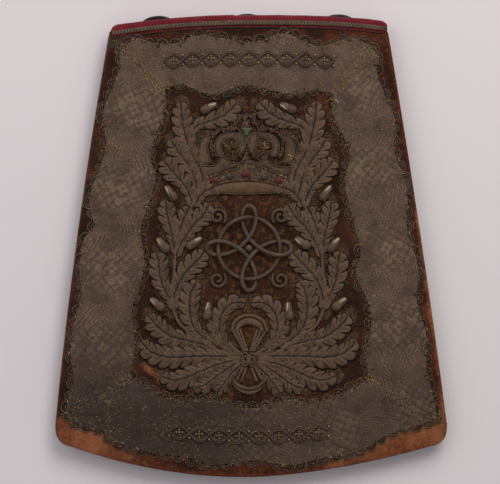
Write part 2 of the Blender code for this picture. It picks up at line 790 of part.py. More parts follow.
def leaf_body(half, midrib, level):
    """A lobed leaf with a raised midrib, on its own level so that overlapping leaves join cleanly."""
    line = smooth(midrib, 8)
    lengths = [0.0]
    for one, two in zip(line, line[1:]):
        lengths.append(lengths[-1] + hypot(two[0] - one[0], two[1] - one[1]))
    made = bmesh.new()
    rows = []
    for share, wide, tall in LEAF_PROFILE:
        target = lengths[-1] * share
        index = max(k for k in range(len(line) - 1) if lengths[k] <= target + 1e-9)
        t = (target - lengths[index]) / (lengths[index + 1] - lengths[index])
        one, two = line[index], line[index + 1]
        along = Vector((two[0] - one[0], two[1] - one[1])).normalized()
        here = Vector((lerp(one[0], two[0], t), lerp(one[1], two[1], t)))
        across = Vector((along.y, -along.x))
        row = []
        for side, z in ((-1, 0.0), (0, LEAF_RIDGE * tall), (1, 0.0)):
            place = here + across * side * half * wide
            height = WORK_Z + level + z + flap_form(here.x, here.y)
            row.append(made.verts.new((place.x, place.y, height)))
        rows.append(row)
    close_rings(made, rows)
    return made


def mirrored(points):
    return tuple((2 * BRANCH_MIRROR - x, y) for x, y in points)


def make_branches():
    for side in ("left", "right"):
        turn = mirrored if side == "right" else tuple
        section = oval_section(STEM_HALF, STEM_HIGH, 6)
        stem = with_height(smooth(turn(STEM), 2), WORK_Z + STEM_LEVEL)
        bodies = [sweep(bmesh.new(), stem, section, False)]
        for index, (_name, half, midrib) in enumerate(LEAVES):
            bodies.append(leaf_body(half, turn(midrib), LEAF_LEVEL * (index + 1)))
        join_bodies(f"oak_branch_{side}", bodies, "metal_embroidery")


def make_acorns():
    for side in ("left", "right"):
        turn = mirrored if side == "right" else tuple
        for index, ends in enumerate(ACORNS):
            tip, base = (Vector(point) for point in turn(ends))
            along = (tip - base).normalized()
            across = Vector((along.y, -along.x))
            start = tip - along * ACORN_LENGTH
            rise = ACORN_Z + flap_form(*(tip + start) / 2)
            made = bmesh.new()
            rings = []
            for share, size in ACORN_RINGS:
                ring = []
                for k in range(ACORN_SIDES):
                    turn_k = 2 * pi * k / ACORN_SIDES - pi / 2
                    place = start + along * ACORN_LENGTH * share + across * ACORN_HALF * size * cos(turn_k)
                    ring.append(made.verts.new((place.x, place.y, rise + ACORN_HIGH * size * sin(turn_k))))
                rings.append(ring)
            close_rings(made, rings)
            make_object(f"acorn_{side}_{index + 1}", made, "acorn_thread")


def make_bow():
    flat = [(-BOW_HALF, 0.0), (-BOW_HALF, BOW_EDGE), (0.0, BOW_HIGH), (BOW_HALF, BOW_EDGE), (BOW_HALF, 0.0)]
    bodies = []
    place = Vector(BOW_KNOT)
    knot = []
    for k in range(BOW_KNOT_SIDES):
        turn = 2 * pi * k / BOW_KNOT_SIDES
        knot.append((place.x + BOW_KNOT_HALF * cos(turn), place.y + BOW_KNOT_TALL * sin(turn)))
    low = WORK_Z + flap_form(*place)
    bodies.append(prism(knot, low, low + BOW_KNOT_HIGH))
    for level, loop in zip(BOW_LEVELS, (BOW_ARCH, BOW_TAIL)):
        bodies.append(sweep(bmesh.new(), with_height(smooth(loop, 2), WORK_Z + level), flat, False))
    join_bodies("ribbon_bow", bodies, "metal_embroidery")


# Crown


def make_crown():
    band = smooth(CROWN_BASE, 3) + smooth(CIRCLET_TOP, 3)
    body = prism(band, WORK_Z, WORK_Z + CROWN_HIGH)
    cut_across(body, 0, ARCH_AT[1:-1])
    lift(body, flap_form)
    make_object("crown_band", body, "metal_embroidery")
    seat = [(x, y + CROWN_SEAT) for x, y in smooth(CIRCLET_TOP, 3)[::-1]]
    silhouette = seat + smooth(CROWN_TOP, 2)
    cap = prism(silhouette, WORK_Z, WORK_Z + CROWN_HIGH)
    lift(cap, flap_form)
    obj = make_object("crown_cap", cap, "metal_embroidery")
    for index, (x, y, half, tall) in enumerate(CROWN_GAPS):
        turns = [2 * pi * k / CROWN_GAP_SIDES for k in range(CROWN_GAP_SIDES)]
        hole = [(x + half * cos(turn), y + tall * sin(turn)) for turn in turns]
        through = prism(hole, WORK_Z - CROWN_HIGH, WORK_Z + 4 * CROWN_HIGH)
        cutter = make_object(f"crown_gap_{index}", through, "velvet")
        cutter.hide_render = True
        cutter.display_type = "WIRE"
        cut = obj.modifiers.new("gap", "BOOLEAN")
        cut.operation = "DIFFERENCE"
        cut.object = cutter
        cut.solver = "EXACT"
    make_orb()
    for index, (x, y, long, wide, corners, first, colour) in enumerate(CROWN_STONES):
        low = WORK_Z + CROWN_HIGH + GAP + flap_form(x, y)
        made = bmesh.new()
        rings = []
        for size, up in STONE_CUT:
            ring = []
            for k in range(corners):
                turn = radians(first) + 2 * pi * k / corners
                place = (x + long * size * cos(turn), y + wide * size * sin(turn))
                ring.append(made.verts.new((*place, low + STONE_HIGH * up)))
            rings.append(ring)
        close_rings(made, rings)
        make_object(f"crown_stone_{index + 1}", made, f"{colour}_stone")


def make_orb():
    """The small orb on the crown, with its cross."""
    x, y = ORB_PLACE
    arm = CROSS_ARM
    outline = []
    for turn in stations(radians(90 + ORB_OPEN), radians(450 - ORB_OPEN), ORB_STEPS):
        outline.append((x + ORB_HALF * cos(turn), y + ORB_HALF * sin(turn)))
    bar = y + CROSS_BAR
    outline += [
        (x + arm, bar - arm), (x + CROSS_HALF, bar - arm), (x + CROSS_HALF, bar + arm), (x + arm, bar + arm),
        (x + arm, CROSS_TOP), (x - arm, CROSS_TOP),
        (x - arm, bar + arm), (x - CROSS_HALF, bar + arm), (x - CROSS_HALF, bar - arm), (x - arm, bar - arm),
    ]
    low = WORK_Z + flap_form(x, y)
    make_object("crown_orb", prism(outline, low, low + CROWN_HIGH), "metal_embroidery")


# Scroll knot and ornament rows


def make_knot():
    middle_x, middle_y = KNOT_PLACE
    size = KNOT_REACH / (1 + KNOT_LOOP)
    path = []
    for step in range(KNOT_STEPS):
        t = 2 * pi * step / KNOT_STEPS
        x = middle_x + size * (cos(t) + KNOT_LOOP * cos(3 * t))
        y = middle_y + size * (sin(t) - KNOT_LOOP * sin(3 * t))
        weave = max(-1.0, min(1.0, KNOT_WEAVE_SHARP * sin(4 * (t - pi / 4))))
        path.append((x, y, WORK_Z + flap_form(x, y) + KNOT_WEAVE * (0.5 - 0.5 * weave)))
    section = oval_section(CORD_HALF, CORD_HIGH, CORD_SIDES)
    make_object("scroll_knot", sweep(bmesh.new(), path, section, True), "metal_embroidery")
    ring = []
    for step in range(KNOT_RING_STEPS):
        t = 2 * pi * step / KNOT_RING_STEPS
        x, y = middle_x + KNOT_RING * cos(t), middle_y + KNOT_RING * sin(t)
        weave = max(-1.0, min(1.0, KNOT_RING_SHARP * sin(4 * t)))
        ring.append((x, y, WORK_Z + flap_form(x, y) + KNOT_WEAVE * (0.5 + 0.5 * weave)))
    make_object("knot_ring", sweep(bmesh.new(), ring, section, True), "metal_embroidery")
    for index in range(4):
        diagonal = pi / 4 + index * pi / 2
        start = Vector(KNOT_PLACE) + Vector((cos(diagonal), sin(diagonal))) * VOLUTE_REACH
        line = []
        for t in stations(0.0, 1.0, VOLUTE_STEPS):
            radius = VOLUTE_START * (1 - VOLUTE_DRAWN_IN * t)
            turn = diagonal + pi + 2 * pi * VOLUTE_TURNS * t * (1 if index % 2 else -1)
            line.append((start.x + radius * cos(turn), start.y + radius * sin(turn)))
        section = oval_section(VOLUTE_HALF, CORD_HIGH, CORD_SIDES)
        made = sweep(bmesh.new(), with_height(line, WORK_Z), section, False)
        make_object(f"knot_volute_{index + 1}", made, "metal_embroidery")
    made = bmesh.new()
    low = WORK_Z + flap_form(*KNOT_PLACE)
    rings = []
    for size, up in ROSETTE_RINGS:
        radius = ROSETTE_HALF * size
        turns = [2 * pi * k / 8 for k in range(8)]
        places = [(middle_x + radius * cos(turn), middle_y + radius * sin(turn), low + up) for turn in turns]
        rings.append([made.verts.new(place) for place in places])
    close_rings(made, rings)
    make_object("knot_rosette", made, "metal_embroidery")


def make_ornament_rows():
    """A couched cord that opens into a lozenge at each repeat, on top of the lace."""
    for name, (middle_x, middle_y, half, rise, repeats) in (
        ("ornament_row_top", ROW_TOP),
        ("ornament_row_bottom", ROW_BOTTOM),
    ):
        upper, lower = [], []
        places = [(index + share, width) for index in range(repeats) for share, width in ROW_REPEAT]
        for place, width in places + [(repeats, ROW_REPEAT[0][1])]:
            t = place / repeats
            x = middle_x + lerp(-half, half, t)
            y = middle_y + rise * (2 * t - 1) ** 2
            upper.append((x, y + width))
            lower.append((x, y - width))
        low = WORK_Z + LACE + GAP
        body = prism(lower + upper[::-1], low, low + ROW_HIGH)
        cut_across(body, 0, ARCH_AT[1:-1])
        cut_across(body, 1, DROOP_AT[:-1])
        lift(body, flap_form)
        make_object(name, body, "metal_embroidery")


# Rings


def ring_axis(top):
    """The height along Y of a ring's bar, from the place of its outer top."""
    return top - (RING_DEPTH + WIRE) * cos(ring_droop())


def ring_droop():
    return asin((RING_AXIS_Z - RING_REST_Z) / RING_DEPTH)


def ring_path():
    """The ring's middle line, from its bar round the bow, before it droops."""
    straight = RING_HALF - RING_CORNER
    made = [(x, 0.0) for x in stations(-straight, straight, 2)]
    quarter = [pi / 2 * step / RING_CORNER_STEPS for step in range(1, RING_CORNER_STEPS)]
    for turn in quarter:
        made.append((straight + RING_CORNER * sin(turn), RING_CORNER - RING_CORNER * cos(turn)))
    for turn in stations(0.0, pi, RING_BOW_STEPS):
        made.append((RING_HALF * cos(turn), RING_CORNER + (RING_DEPTH - RING_CORNER) * sin(turn)))
    for turn in quarter:
        made.append((-straight - RING_CORNER * cos(turn), RING_CORNER - RING_CORNER * sin(turn)))
    return made


def make_rings():
    section = [
        (WIRE * cos(2 * pi * (k + 0.5) / RING_SIDES), WIRE * sin(2 * pi * (k + 0.5) / RING_SIDES))
        for k in range(RING_SIDES)
    ]
    for name, x, top in RINGS:
        made = sweep(bmesh.new(), [(px, py, 0.0) for px, py in ring_path()], section, True)
        tilt = Matrix.Rotation(-ring_droop(), 3, "X")
        bmesh.ops.rotate(made, cent=(0.0, 0.0, 0.0), matrix=tilt, verts=made.verts)
        ring = make_object(f"ring_{name}", made, "blackened_metal")
        ring.location = (x * MM, ring_axis(top) * MM, RING_AXIS_Z * MM)
        make_tab(name, x, ring_axis(top))


def make_tab(name, x, axis_y):
    """A strap folded round the ring's bar, with both tails flat under the raised back."""
    middle = TAB_BORE + TAB_LEATHER / 2
    upper = RING_AXIS_Z + middle
    lower = upper - TAB_LEATHER - GAP
    line = [(-TAB_LENGTH, upper), (-TAB_LENGTH / 2, upper)]
    for turn in stations(radians(90), radians(90 - TAB_TURN), TAB_STEPS):
        line.append((middle * cos(turn), RING_AXIS_Z + middle * sin(turn)))
    line += [(y, lower + up) for y, up in TAB_NECK] + [(-TAB_LENGTH, lower)]
    half = TAB_LEATHER / 2
    near, far = [], []
    for index, (y, z) in enumerate(line):
        before = line[max(index - 1, 0)]
        after = line[min(index + 1, len(line) - 1)]
        turn = atan2(after[1] - before[1], after[0] - before[0])
        near.append((y - half * sin(turn), z + half * cos(turn)))
        far.append((y + half * sin(turn), z - half * cos(turn)))
    outline = near + far[::-1]
    made = bmesh.new()
    sides = []
    for side in (-TAB_HALF, TAB_HALF):
        sides.append([made.verts.new((x + side, axis_y + y, z)) for y, z in outline])
    made.faces.new(sides[0][::-1])
    made.faces.new(sides[1])
    count = len(outline)
    for index in range(count):
        after = (index + 1) % count
        made.faces.new((sides[0][index], sides[0][after], sides[1][after], sides[1][index]))
    make_object(f"ring_tab_{name}", made, "leather")


def main():
    clear_scene()
    make_back()
    make_pocket()
    make_flap_board()
    make_velvet()
    make_binding()
    make_braid()
    make_lace()
    make_edging()
    make_branches()
    make_acorns()
    make_bow()
    make_crown()
    make_knot()
    make_ornament_rows()
    make_rings()


main()
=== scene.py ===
"""Looks of the hussar's sabretache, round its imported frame. Places are in millimetres until a mesh is made."""

from math import asin, cos, pi, radians, sin
from random import Random

import bmesh
import bpy
import numpy as np
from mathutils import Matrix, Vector, kdtree, noise


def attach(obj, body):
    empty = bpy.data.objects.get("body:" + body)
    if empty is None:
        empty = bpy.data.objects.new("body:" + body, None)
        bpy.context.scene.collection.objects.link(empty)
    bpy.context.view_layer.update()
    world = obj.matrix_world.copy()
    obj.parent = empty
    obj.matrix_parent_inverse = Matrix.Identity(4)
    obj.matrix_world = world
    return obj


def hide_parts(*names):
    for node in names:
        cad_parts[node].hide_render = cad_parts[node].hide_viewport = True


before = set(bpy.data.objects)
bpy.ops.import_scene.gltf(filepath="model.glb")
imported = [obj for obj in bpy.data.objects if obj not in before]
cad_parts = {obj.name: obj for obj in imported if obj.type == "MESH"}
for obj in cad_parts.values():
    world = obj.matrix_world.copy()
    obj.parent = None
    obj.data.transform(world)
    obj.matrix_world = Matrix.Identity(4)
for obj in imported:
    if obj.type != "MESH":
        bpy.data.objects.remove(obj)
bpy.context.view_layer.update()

MM = 0.001
GAP = 0.3

# Scale of the photograph: millimetres to its pixel, and the pixel of the middle
PX = 0.78
PX_MIDDLE = (251.2, 244.7)

# Outline of the flap, seen from the front
SIDE_TOP_LEFT = (-110.9, 163.5)
SIDE_TOP_RIGHT = (107.5, 161.2)
SIDE_FOOT_LEFT = (-152.6, -139.0)
SIDE_FOOT_RIGHT = (152.6, -139.0)
BOW_LEFT = 3.0
BOW_RIGHT = 1.5
FOOT_TIP = (-5.0, -181.2)
FOOT_RISE = 24.0
FOOT_HALF_LEFT = 136.0
FOOT_HALF_RIGHT = 145.0
FOOT_POWER_LEFT = 2.0
FOOT_POWER_RIGHT = 1.7
CORNER = 12.0
TOP_PEAK = 179.4
TOP_FALL_LEFT = 8.1
TOP_FALL_RIGHT = 5.0
TOP_HALF = 107.0
TOP_POWER_LEFT = 2.0
TOP_POWER_RIGHT = 3.0

# Heights of the layers above the surface it lies on
BOARD = 2.5
POCKET_LEATHER = 1.8
GUSSET_LEATHER = 1.5
GUSSET_TOP = 8.6
POCKET_Z = GUSSET_TOP + GAP
FLAP_Z = 11.0
VELVET = 1.5
VELVET_Z = FLAP_Z + BOARD + GAP
FACE_Z = VELVET_Z + VELVET
WORK_Z = FACE_Z + GAP
LACE = 1.0

# The flap is arched a little across its width, and droops at its foot
ARCH = 2.2
ARCH_HALF = 153.0
DROOP = 1.5
DROOP_FROM = -60.0
DROOP_TO = -181.2

# How far each layer stays inside the flap's outline
BACK_INSET = 4.0
POCKET_INSET = 10.0
POCKET_MOUTH = 115.0

# The back rises near the top, to leave room for the rings under it
RISE = 7.0
RISE_FROM = 119.0
RISE_TO = 147.0

# Top binding and braid, measured down from the top line
BINDING_DEPTH = 9.0
BINDING_BACK_DEPTH = 6.2
BINDING_NOSE = 5.0
BINDING_WALL = 1.5
BINDING_Z = 5.2
BOARD_TOP_INSET = 5.3
BRAID_TOP = 4.6
BRAID_FOOT = 8.2
BRAID = 0.9

# Where the velvet's two sides end
VELVET_TOP_LEFT = 161.2
VELVET_TOP_RIGHT = 164.6

# Rings and their tabs
WIRE = 1.5
RING_HALF = 14.5
RING_DEPTH = 12.5
RING_AXIS_Z = 3.35
RING_REST_Z = 1.55
RING_CORNER = 2.5
TAB_HALF = 9.0
TAB_LEATHER = 1.4
TAB_BORE = 1.9
TAB_LENGTH = 17.0
RINGS = (
    # name, x, y of its outer top
    ("left", -72.5, 179.6),
    ("middle", -3.0, 181.2),
    ("right", 68.5, 180.8),
)

# Lace edges: a row for each pucker, across and up
LACE_OUTER_TOP = (
    (-104.7, 154.2), (-91.4, 162.8), (-78.9, 159.7), (-59.4, 159.7), (-39.9, 166.6), (-12.6, 162.0),
    (4.5, 161.2), (27.9, 167.4), (53.7, 157.3), (79.4, 163.2), (94.2, 157.3), (101.6, 148.4),
)
LACE_OUTER_RIGHT = (
    (101.6, 148.4), (100.5, 136.3), (106.7, 118.3), (114.8, 98.8), (114.5, 75.4), (120.7, 56.7),
    (125.4, 42.7), (124.6, 13.0), (133.6, -18.2), (132.4, -47.0), (139.0, -68.9), (139.5, -97.7),
    (144.9, -121.1), (147.4, -138.1),
)
LACE_OUTER_BOTTOM = (
    (147.4, -138.1), (128.0, -144.5), (112.2, -149.2), (82.5, -164.8), (57.6, -169.5), (30.3, -175.0),
    (8.4, -171.8), (-8.7, -171.8), (-29.8, -175.0), (-51.6, -168.7), (-78.9, -164.8), (-103.9, -158.4),
    (-117.9, -147.7), (-133.5, -144.5), (-147.0, -134.6),
)
LACE_OUTER_LEFT = (
    (-147.0, -134.6), (-146.6, -125.0), (-141.3, -105.5), (-144.0, -76.0), (-135.9, -40.8),
    (-137.4, -18.2), (-133.5, 3.7), (-125.7, 15.4), (-129.6, 36.8), (-116.4, 75.4), (-118.9, 101.2),
    (-111.7, 122.2), (-105.6, 138.2), (-104.7, 154.2),
)
LACE_INNER_TOP = (
    (-64.9, 118.3), (-51.6, 121.8), (-28.2, 113.6), (-4.1, 120.7), (27.9, 114.4), (47.4, 117.2),
    (61.5, 115.2),
)
LACE_INNER_RIGHT = (
    (61.5, 115.2), (61.5, 97.3), (73.2, 71.5), (70.0, 47.3), (73.2, 28.6), (81.7, -4.1), (78.6, -22.9),
    (90.3, -52.5), (86.4, -88.4), (90.3, -102.4),
)
LACE_INNER_BOTTOM = (
    (90.3, -102.4), (67.7, -113.3), (45.9, -121.1), (27.9, -117.2), (-0.9, -124.3), (-32.1, -117.2),
    (-51.6, -118.8), (-68.8, -115.7), (-81.3, -106.3), (-91.4, -100.9),
)
LACE_INNER_LEFT = (
    (-91.4, -100.9), (-87.5, -74.3), (-89.9, -50.9), (-85.2, -35.3), (-79.7, -13.5), (-82.8, 9.9),
    (-77.4, 28.6), (-71.1, 50.5), (-75.0, 64.5), (-72.7, 80.1), (-64.1, 102.7), (-64.9, 118.3),
)

# Oak leaves of the left branch on the photograph's scale: name, half width, points from tip to base
LEAVES = (
    ("crest", 8.6, ((181, 103), (182, 118), (185, 134), (190, 150), (198, 165), (203, 178), (204, 192))),
    ("crest_inner", 8.0, ((237, 103), (229, 112), (220, 118), (209, 122), (196, 127), (188, 136))),
    ("upper_outer", 7.6, ((171, 140), (177, 150), (184, 159), (190, 168), (195, 180), (198, 194))),
    ("upper_low", 8.4, ((164, 161), (171, 170), (178, 178), (185, 186), (190, 196), (193, 208))),
    ("upper_inner", 7.2, ((217, 187), (206, 191), (199, 198), (194, 208))),
    ("middle_side", 6.0, ((189, 208), (184, 219), (180, 232), (177, 250))),
    ("middle_outer", 7.4, ((166, 202), (167, 212), (169, 222), (172, 234), (175, 254))),
    ("middle_inner", 8.0, ((209, 205), (202, 217), (193, 226), (186, 236), (180, 246), (176, 258))),
    ("waist_outer", 8.0, ((157, 253), (159, 263), (160, 274), (163, 286), (169, 298), (174, 310))),
    ("waist_inner", 8.6, ((204, 252), (199, 259), (191, 267), (184, 275), (178, 285), (174, 298), (175, 310))),
    ("low_inner", 8.6, ((197, 282), (191, 294), (190, 312), (194, 327), (204, 338), (218, 347))),
    ("low_outer", 8.4, ((149, 316), (155, 324), (163, 331), (173, 337), (190, 341), (214, 347))),
    ("foot_outer", 9.0, ((141, 341), (149, 350), (159, 355), (174, 357), (196, 356), (222, 356), (242, 357))),
    ("foot_low", 8.4, ((162, 376), (173, 380), (185, 378), (201, 371), (219, 364), (241, 359))),
    ("stem_filler", 4.4, ((211, 316), (214, 330), (223, 344), (241, 357))),
    ("tail_outer", 6.6, ((194, 389), (206, 384), (218, 375), (230, 367), (243, 359))),
    ("tail_inner", 5.6, ((217, 393), (223, 385), (231, 374), (244, 362))),
    (
        "heart", 7.4,
        ((245, 303), (234, 303), (225, 309), (220, 320), (220, 332), (225, 343), (234, 352), (244, 358)),
    ),
)
STEM = (
    (-9.6, -89.4), (-24.0, -84.0), (-40.0, -74.0), (-56.0, -61.0), (-61.5, -43.0), (-60.0, -20.0),
    (-58.5, -2.0), (-52.0, 16.0), (-46.0, 31.0), (-44.2, 44.0), (-46.6, 56.0), (-48.6, 70.0), (-47.0, 90.0),
)
BRANCH_MIRROR = -2.1
LEAF_GRID = (104, 19)
LEAF_HIGH = 1.75
LEAF_SWELL = 1.44
LOBED = 0.86
LOBE = 7.6
COILS = 96
COIL_SPREAD = 7.0

# Acorns of the left branch: tip, and a point towards the base
ACORNS = (
    ((-66.5, 45.8), (-57.1, 32.5)),
    ((-73.0, 5.2), (-61.8, -8.8)),
    ((-38.4, 5.2), (-57.1, -6.5)),
    ((-78.4, -41.6), (-61.8, -55.6)),
    ((-32.9, -44.7), (-34.5, -60.3)),
    ((-26.7, 109.7), (-39.9, 103.5)),
)
ACORN_LENGTH = 14.0
ACORN_HALF = 3.0
ACORN_HIGH = 2.0
ACORN_Z = WORK_Z + ACORN_HIGH
# Turned forms of an acorn: share of its length, share of its half width
ACORN_CUP = ((0.0, 0.3), (0.03, 0.7), (0.1, 1.0), (0.22, 1.16), (0.36, 1.2), (0.48, 1.12), (0.52, 0.9))
ACORN_NUT = (
    (0.42, 0.6), (0.48, 0.86), (0.6, 0.92), (0.74, 0.9), (0.86, 0.8), (0.94, 0.62), (0.985, 0.38), (1.0, 0.14),
)

# Crown
CROWN_HIGH = 2.0
CROWN_STONES = (
    # across, up, half length, half width, corners, first corner's turn in degrees, class
    (-29.0, 50.3, 3.4, 2.2, 10, 18.0, "red"),
    (-17.3, 53.4, 3.0, 2.6, 10, 18.0, "green"),
    (-4.1, 55.5, 3.8, 2.4, 10, 18.0, "red"),
    (10.0, 52.6, 3.0, 2.6, 10, 18.0, "green"),
    (21.6, 50.1, 3.4, 2.2, 10, 18.0, "red"),
    (-3.4, 88.9, 6.4, 4.4, 3, 30.0, "green"),
)
ORB_PLACE = (-4.1, 94.0)
ORB_HALF = 3.2
CROSS_TOP = 101.6
CROSS_HALF = 3.6

# Scroll knot
KNOT_PLACE = (-1.7, -2.6)
KNOT_REACH = 33.0
KNOT_LOOP = 0.72
KNOT_WEAVE = 2.4
KNOT_RING = 24.0
VOLUTE_REACH = 34.6
VOLUTE_START = 6.8
VOLUTE_TURNS = 1.4

# Ornament rows: middle, half length, rise of the arc's ends, repeats
ROW_TOP = (-1.7, 145.5, 66.0, -2.5, 9)
ROW_BOTTOM = (-1.7, -149.0, 62.0, 4.0, 8)
ROW_HALF = 6.6


def lerp(a, b, t):
    """A value a share of the way from one to another."""
    return a + (b - a) * t


def side_x(y, right):
    """The flap's side at height y."""
    top, foot, bow = (
        (SIDE_TOP_RIGHT, SIDE_FOOT_RIGHT, BOW_RIGHT) if right else (SIDE_TOP_LEFT, SIDE_FOOT_LEFT, -BOW_LEFT)
    )
    t = (top[1] - y) / (top[1] - foot[1])
    return lerp(top[0], foot[0], t) + 4 * bow * t * (1 - t)


def foot_y(x):
    """The flap's lower edge at x."""
    half, power = (
        (FOOT_HALF_LEFT, FOOT_POWER_LEFT) if x < FOOT_TIP[0] else (FOOT_HALF_RIGHT, FOOT_POWER_RIGHT)
    )
    return FOOT_TIP[1] + FOOT_RISE * (abs(x - FOOT_TIP[0]) / half) ** power


def top_y(x):
    """The top line, the upper edge of the binding, at x."""
    fall, power = (TOP_FALL_LEFT, TOP_POWER_LEFT) if x < 0 else (TOP_FALL_RIGHT, TOP_POWER_RIGHT)
    return TOP_PEAK - fall * (abs(x) / TOP_HALF) ** power


def bezier(start, middle, end, steps):
    """Points after start and before end, on a curve pulled towards middle."""
    made = []
    for step in range(1, steps):
        t = step / steps
        made.append(
            tuple(
                (1 - t) ** 2 * a + 2 * t * (1 - t) * b + t * t * c for a, b, c in zip(start, middle, end)
            )
        )
    return made


def outline_below(inset, top_left, top_right, side_steps=8, foot_steps=12):
    """The outline from the left top corner down, round the foot and up to the right one."""
    corner_y = SIDE_FOOT_LEFT[1] - 3.0 + inset * 0.5
    made = []
    for step in range(side_steps + 1):
        y = lerp(top_left, corner_y, step / side_steps)
        made.append((side_x(y, False) + inset, y))
    foot_from = side_x(corner_y, False) + inset + CORNER
    foot_to = side_x(corner_y, True) - inset - CORNER
    start = (foot_from, foot_y(foot_from) + inset)
    made += bezier(made[-1], (made[-1][0] - 0.6, start[1] + 1.6), start, 5)
    for step in range(foot_steps + 1):
        x = lerp(foot_from, foot_to, step / foot_steps)
        made.append((x, foot_y(x) + inset))
    up = (side_x(corner_y, True) - inset, corner_y)
    made += bezier(made[-1], (up[0] + 0.6, made[-1][1] + 1.6), up, 5)
    for step in range(side_steps + 1):
        y = lerp(corner_y, top_right, step / side_steps)
        made.append((side_x(y, True) - inset, y))
    return made


def smooth(points, steps):
    """A smooth curve through the points, with this many steps between neighbours."""
    last = len(points) - 1
    made = []
    for span in range(last):
        near = [points[min(max(span + offset, 0), last)] for offset in (-1, 0, 1, 2)]
        for step in range(steps):
            t = step / steps
            made.append(
                tuple(
                    0.5
                    * (2 * b + (c - a) * t + (2 * a - 5 * b + 4 * c - d) * t * t + (3 * b - a - 3 * c + d) * t**3)
                    for a, b, c, d in zip(*near)
                )
            )
    made.append(tuple(points[-1]))
    return made


def offset_loop(points, distance):
    """A closed counter-clockwise loop moved outwards by distance."""
    made = []
    count = len(points)
    for index in range(count):
        before, here, after = (Vector(points[(index + k) % count][:2]) for k in (-1, 0, 1))
        first = (here - before).normalized()
        second = (after - here).normalized()
        normal = Vector((first.y + second.y, -first.x - second.x))
        normal = normal.normalized() if normal.length > 1e-6 else Vector((first.y, -first.x))
        stretch = max(0.5, normal.dot(Vector((first.y, -first.x))))
        made.append(tuple(here + normal * distance / stretch))
    return made


def flap_form(x, y):
    """How much higher the flap lies here than at its flat sides."""
    sag = np.clip((DROOP_FROM - y) / (DROOP_FROM - DROOP_TO), 0, 1)
    return ARCH * (1 - (x / ARCH_HALF) ** 2) - DROOP * sag**2


def flap_forms(places):
    """The same, for an array of places."""
    return flap_form(places[..., 0], places[..., 1])


def back_forms(places):
    """How much the back board rises towards the rings."""
    share = np.clip((places[..., 1] - RISE_FROM) / (RISE_TO - RISE_FROM), 0, 1)
    return RISE * (3 * share**2 - 2 * share**3)


def px(*points):
    """Places on the photograph's scale as places on the pouch."""
    return [((x - PX_MIDDLE[0]) * PX, (PX_MIDDLE[1] - y) * PX) for x, y in points]


def evenly(points, count):
    """The line through the points as this many evenly spaced places."""
    line = np.array(points, float)
    steps = np.hypot(*np.diff(line[:, :2], axis=0).T)
    along = np.concatenate(([0.0], np.cumsum(steps)))
    at = np.linspace(0.0, along[-1], count)
    return np.stack([np.interp(at, along, line[:, k]) for k in range(line.shape[1])], axis=1)


def length_of(line):
    """The length of a line."""
    return float(np.hypot(*np.diff(np.array(line, float)[:, :2], axis=0).T).sum())


def directions(line, closed=False):
    """The unit direction at each place of a line."""
    line = np.asarray(line, float)
    if closed:
        way = np.roll(line, -1, axis=0) - np.roll(line, 1, axis=0)
    else:
        way = np.gradient(line, axis=0)
    return way / np.maximum(np.linalg.norm(way, axis=1, keepdims=True), 1e-9)


def square_to(way):
    """Directions turned a quarter to the right."""
    return np.stack((way[:, 1], -way[:, 0]), axis=1)


def turns_of(count):
    """Evenly spaced turns round a full circle."""
    return 2 * pi * np.arange(count) / count


def area_of(grid):
    """The area of a grid of places, seen from above."""
    one, two = grid[1:, 1:] - grid[:-1, :-1], grid[:-1, 1:] - grid[1:, :-1]
    return 0.5 * np.abs(one[..., 0] * two[..., 1] - two[..., 0] * one[..., 1]).sum()


def rough_at(places, size, seed=0.0):
    """Smooth noise from -1 to 1 for an array of places, on features of this size."""
    flat = places.reshape(-1, places.shape[-1])
    made = [noise.noise(Vector((p[0] / size, p[1] / size, seed))) for p in flat]
    return np.array(made).reshape(places.shape[:-1])


# Meshes


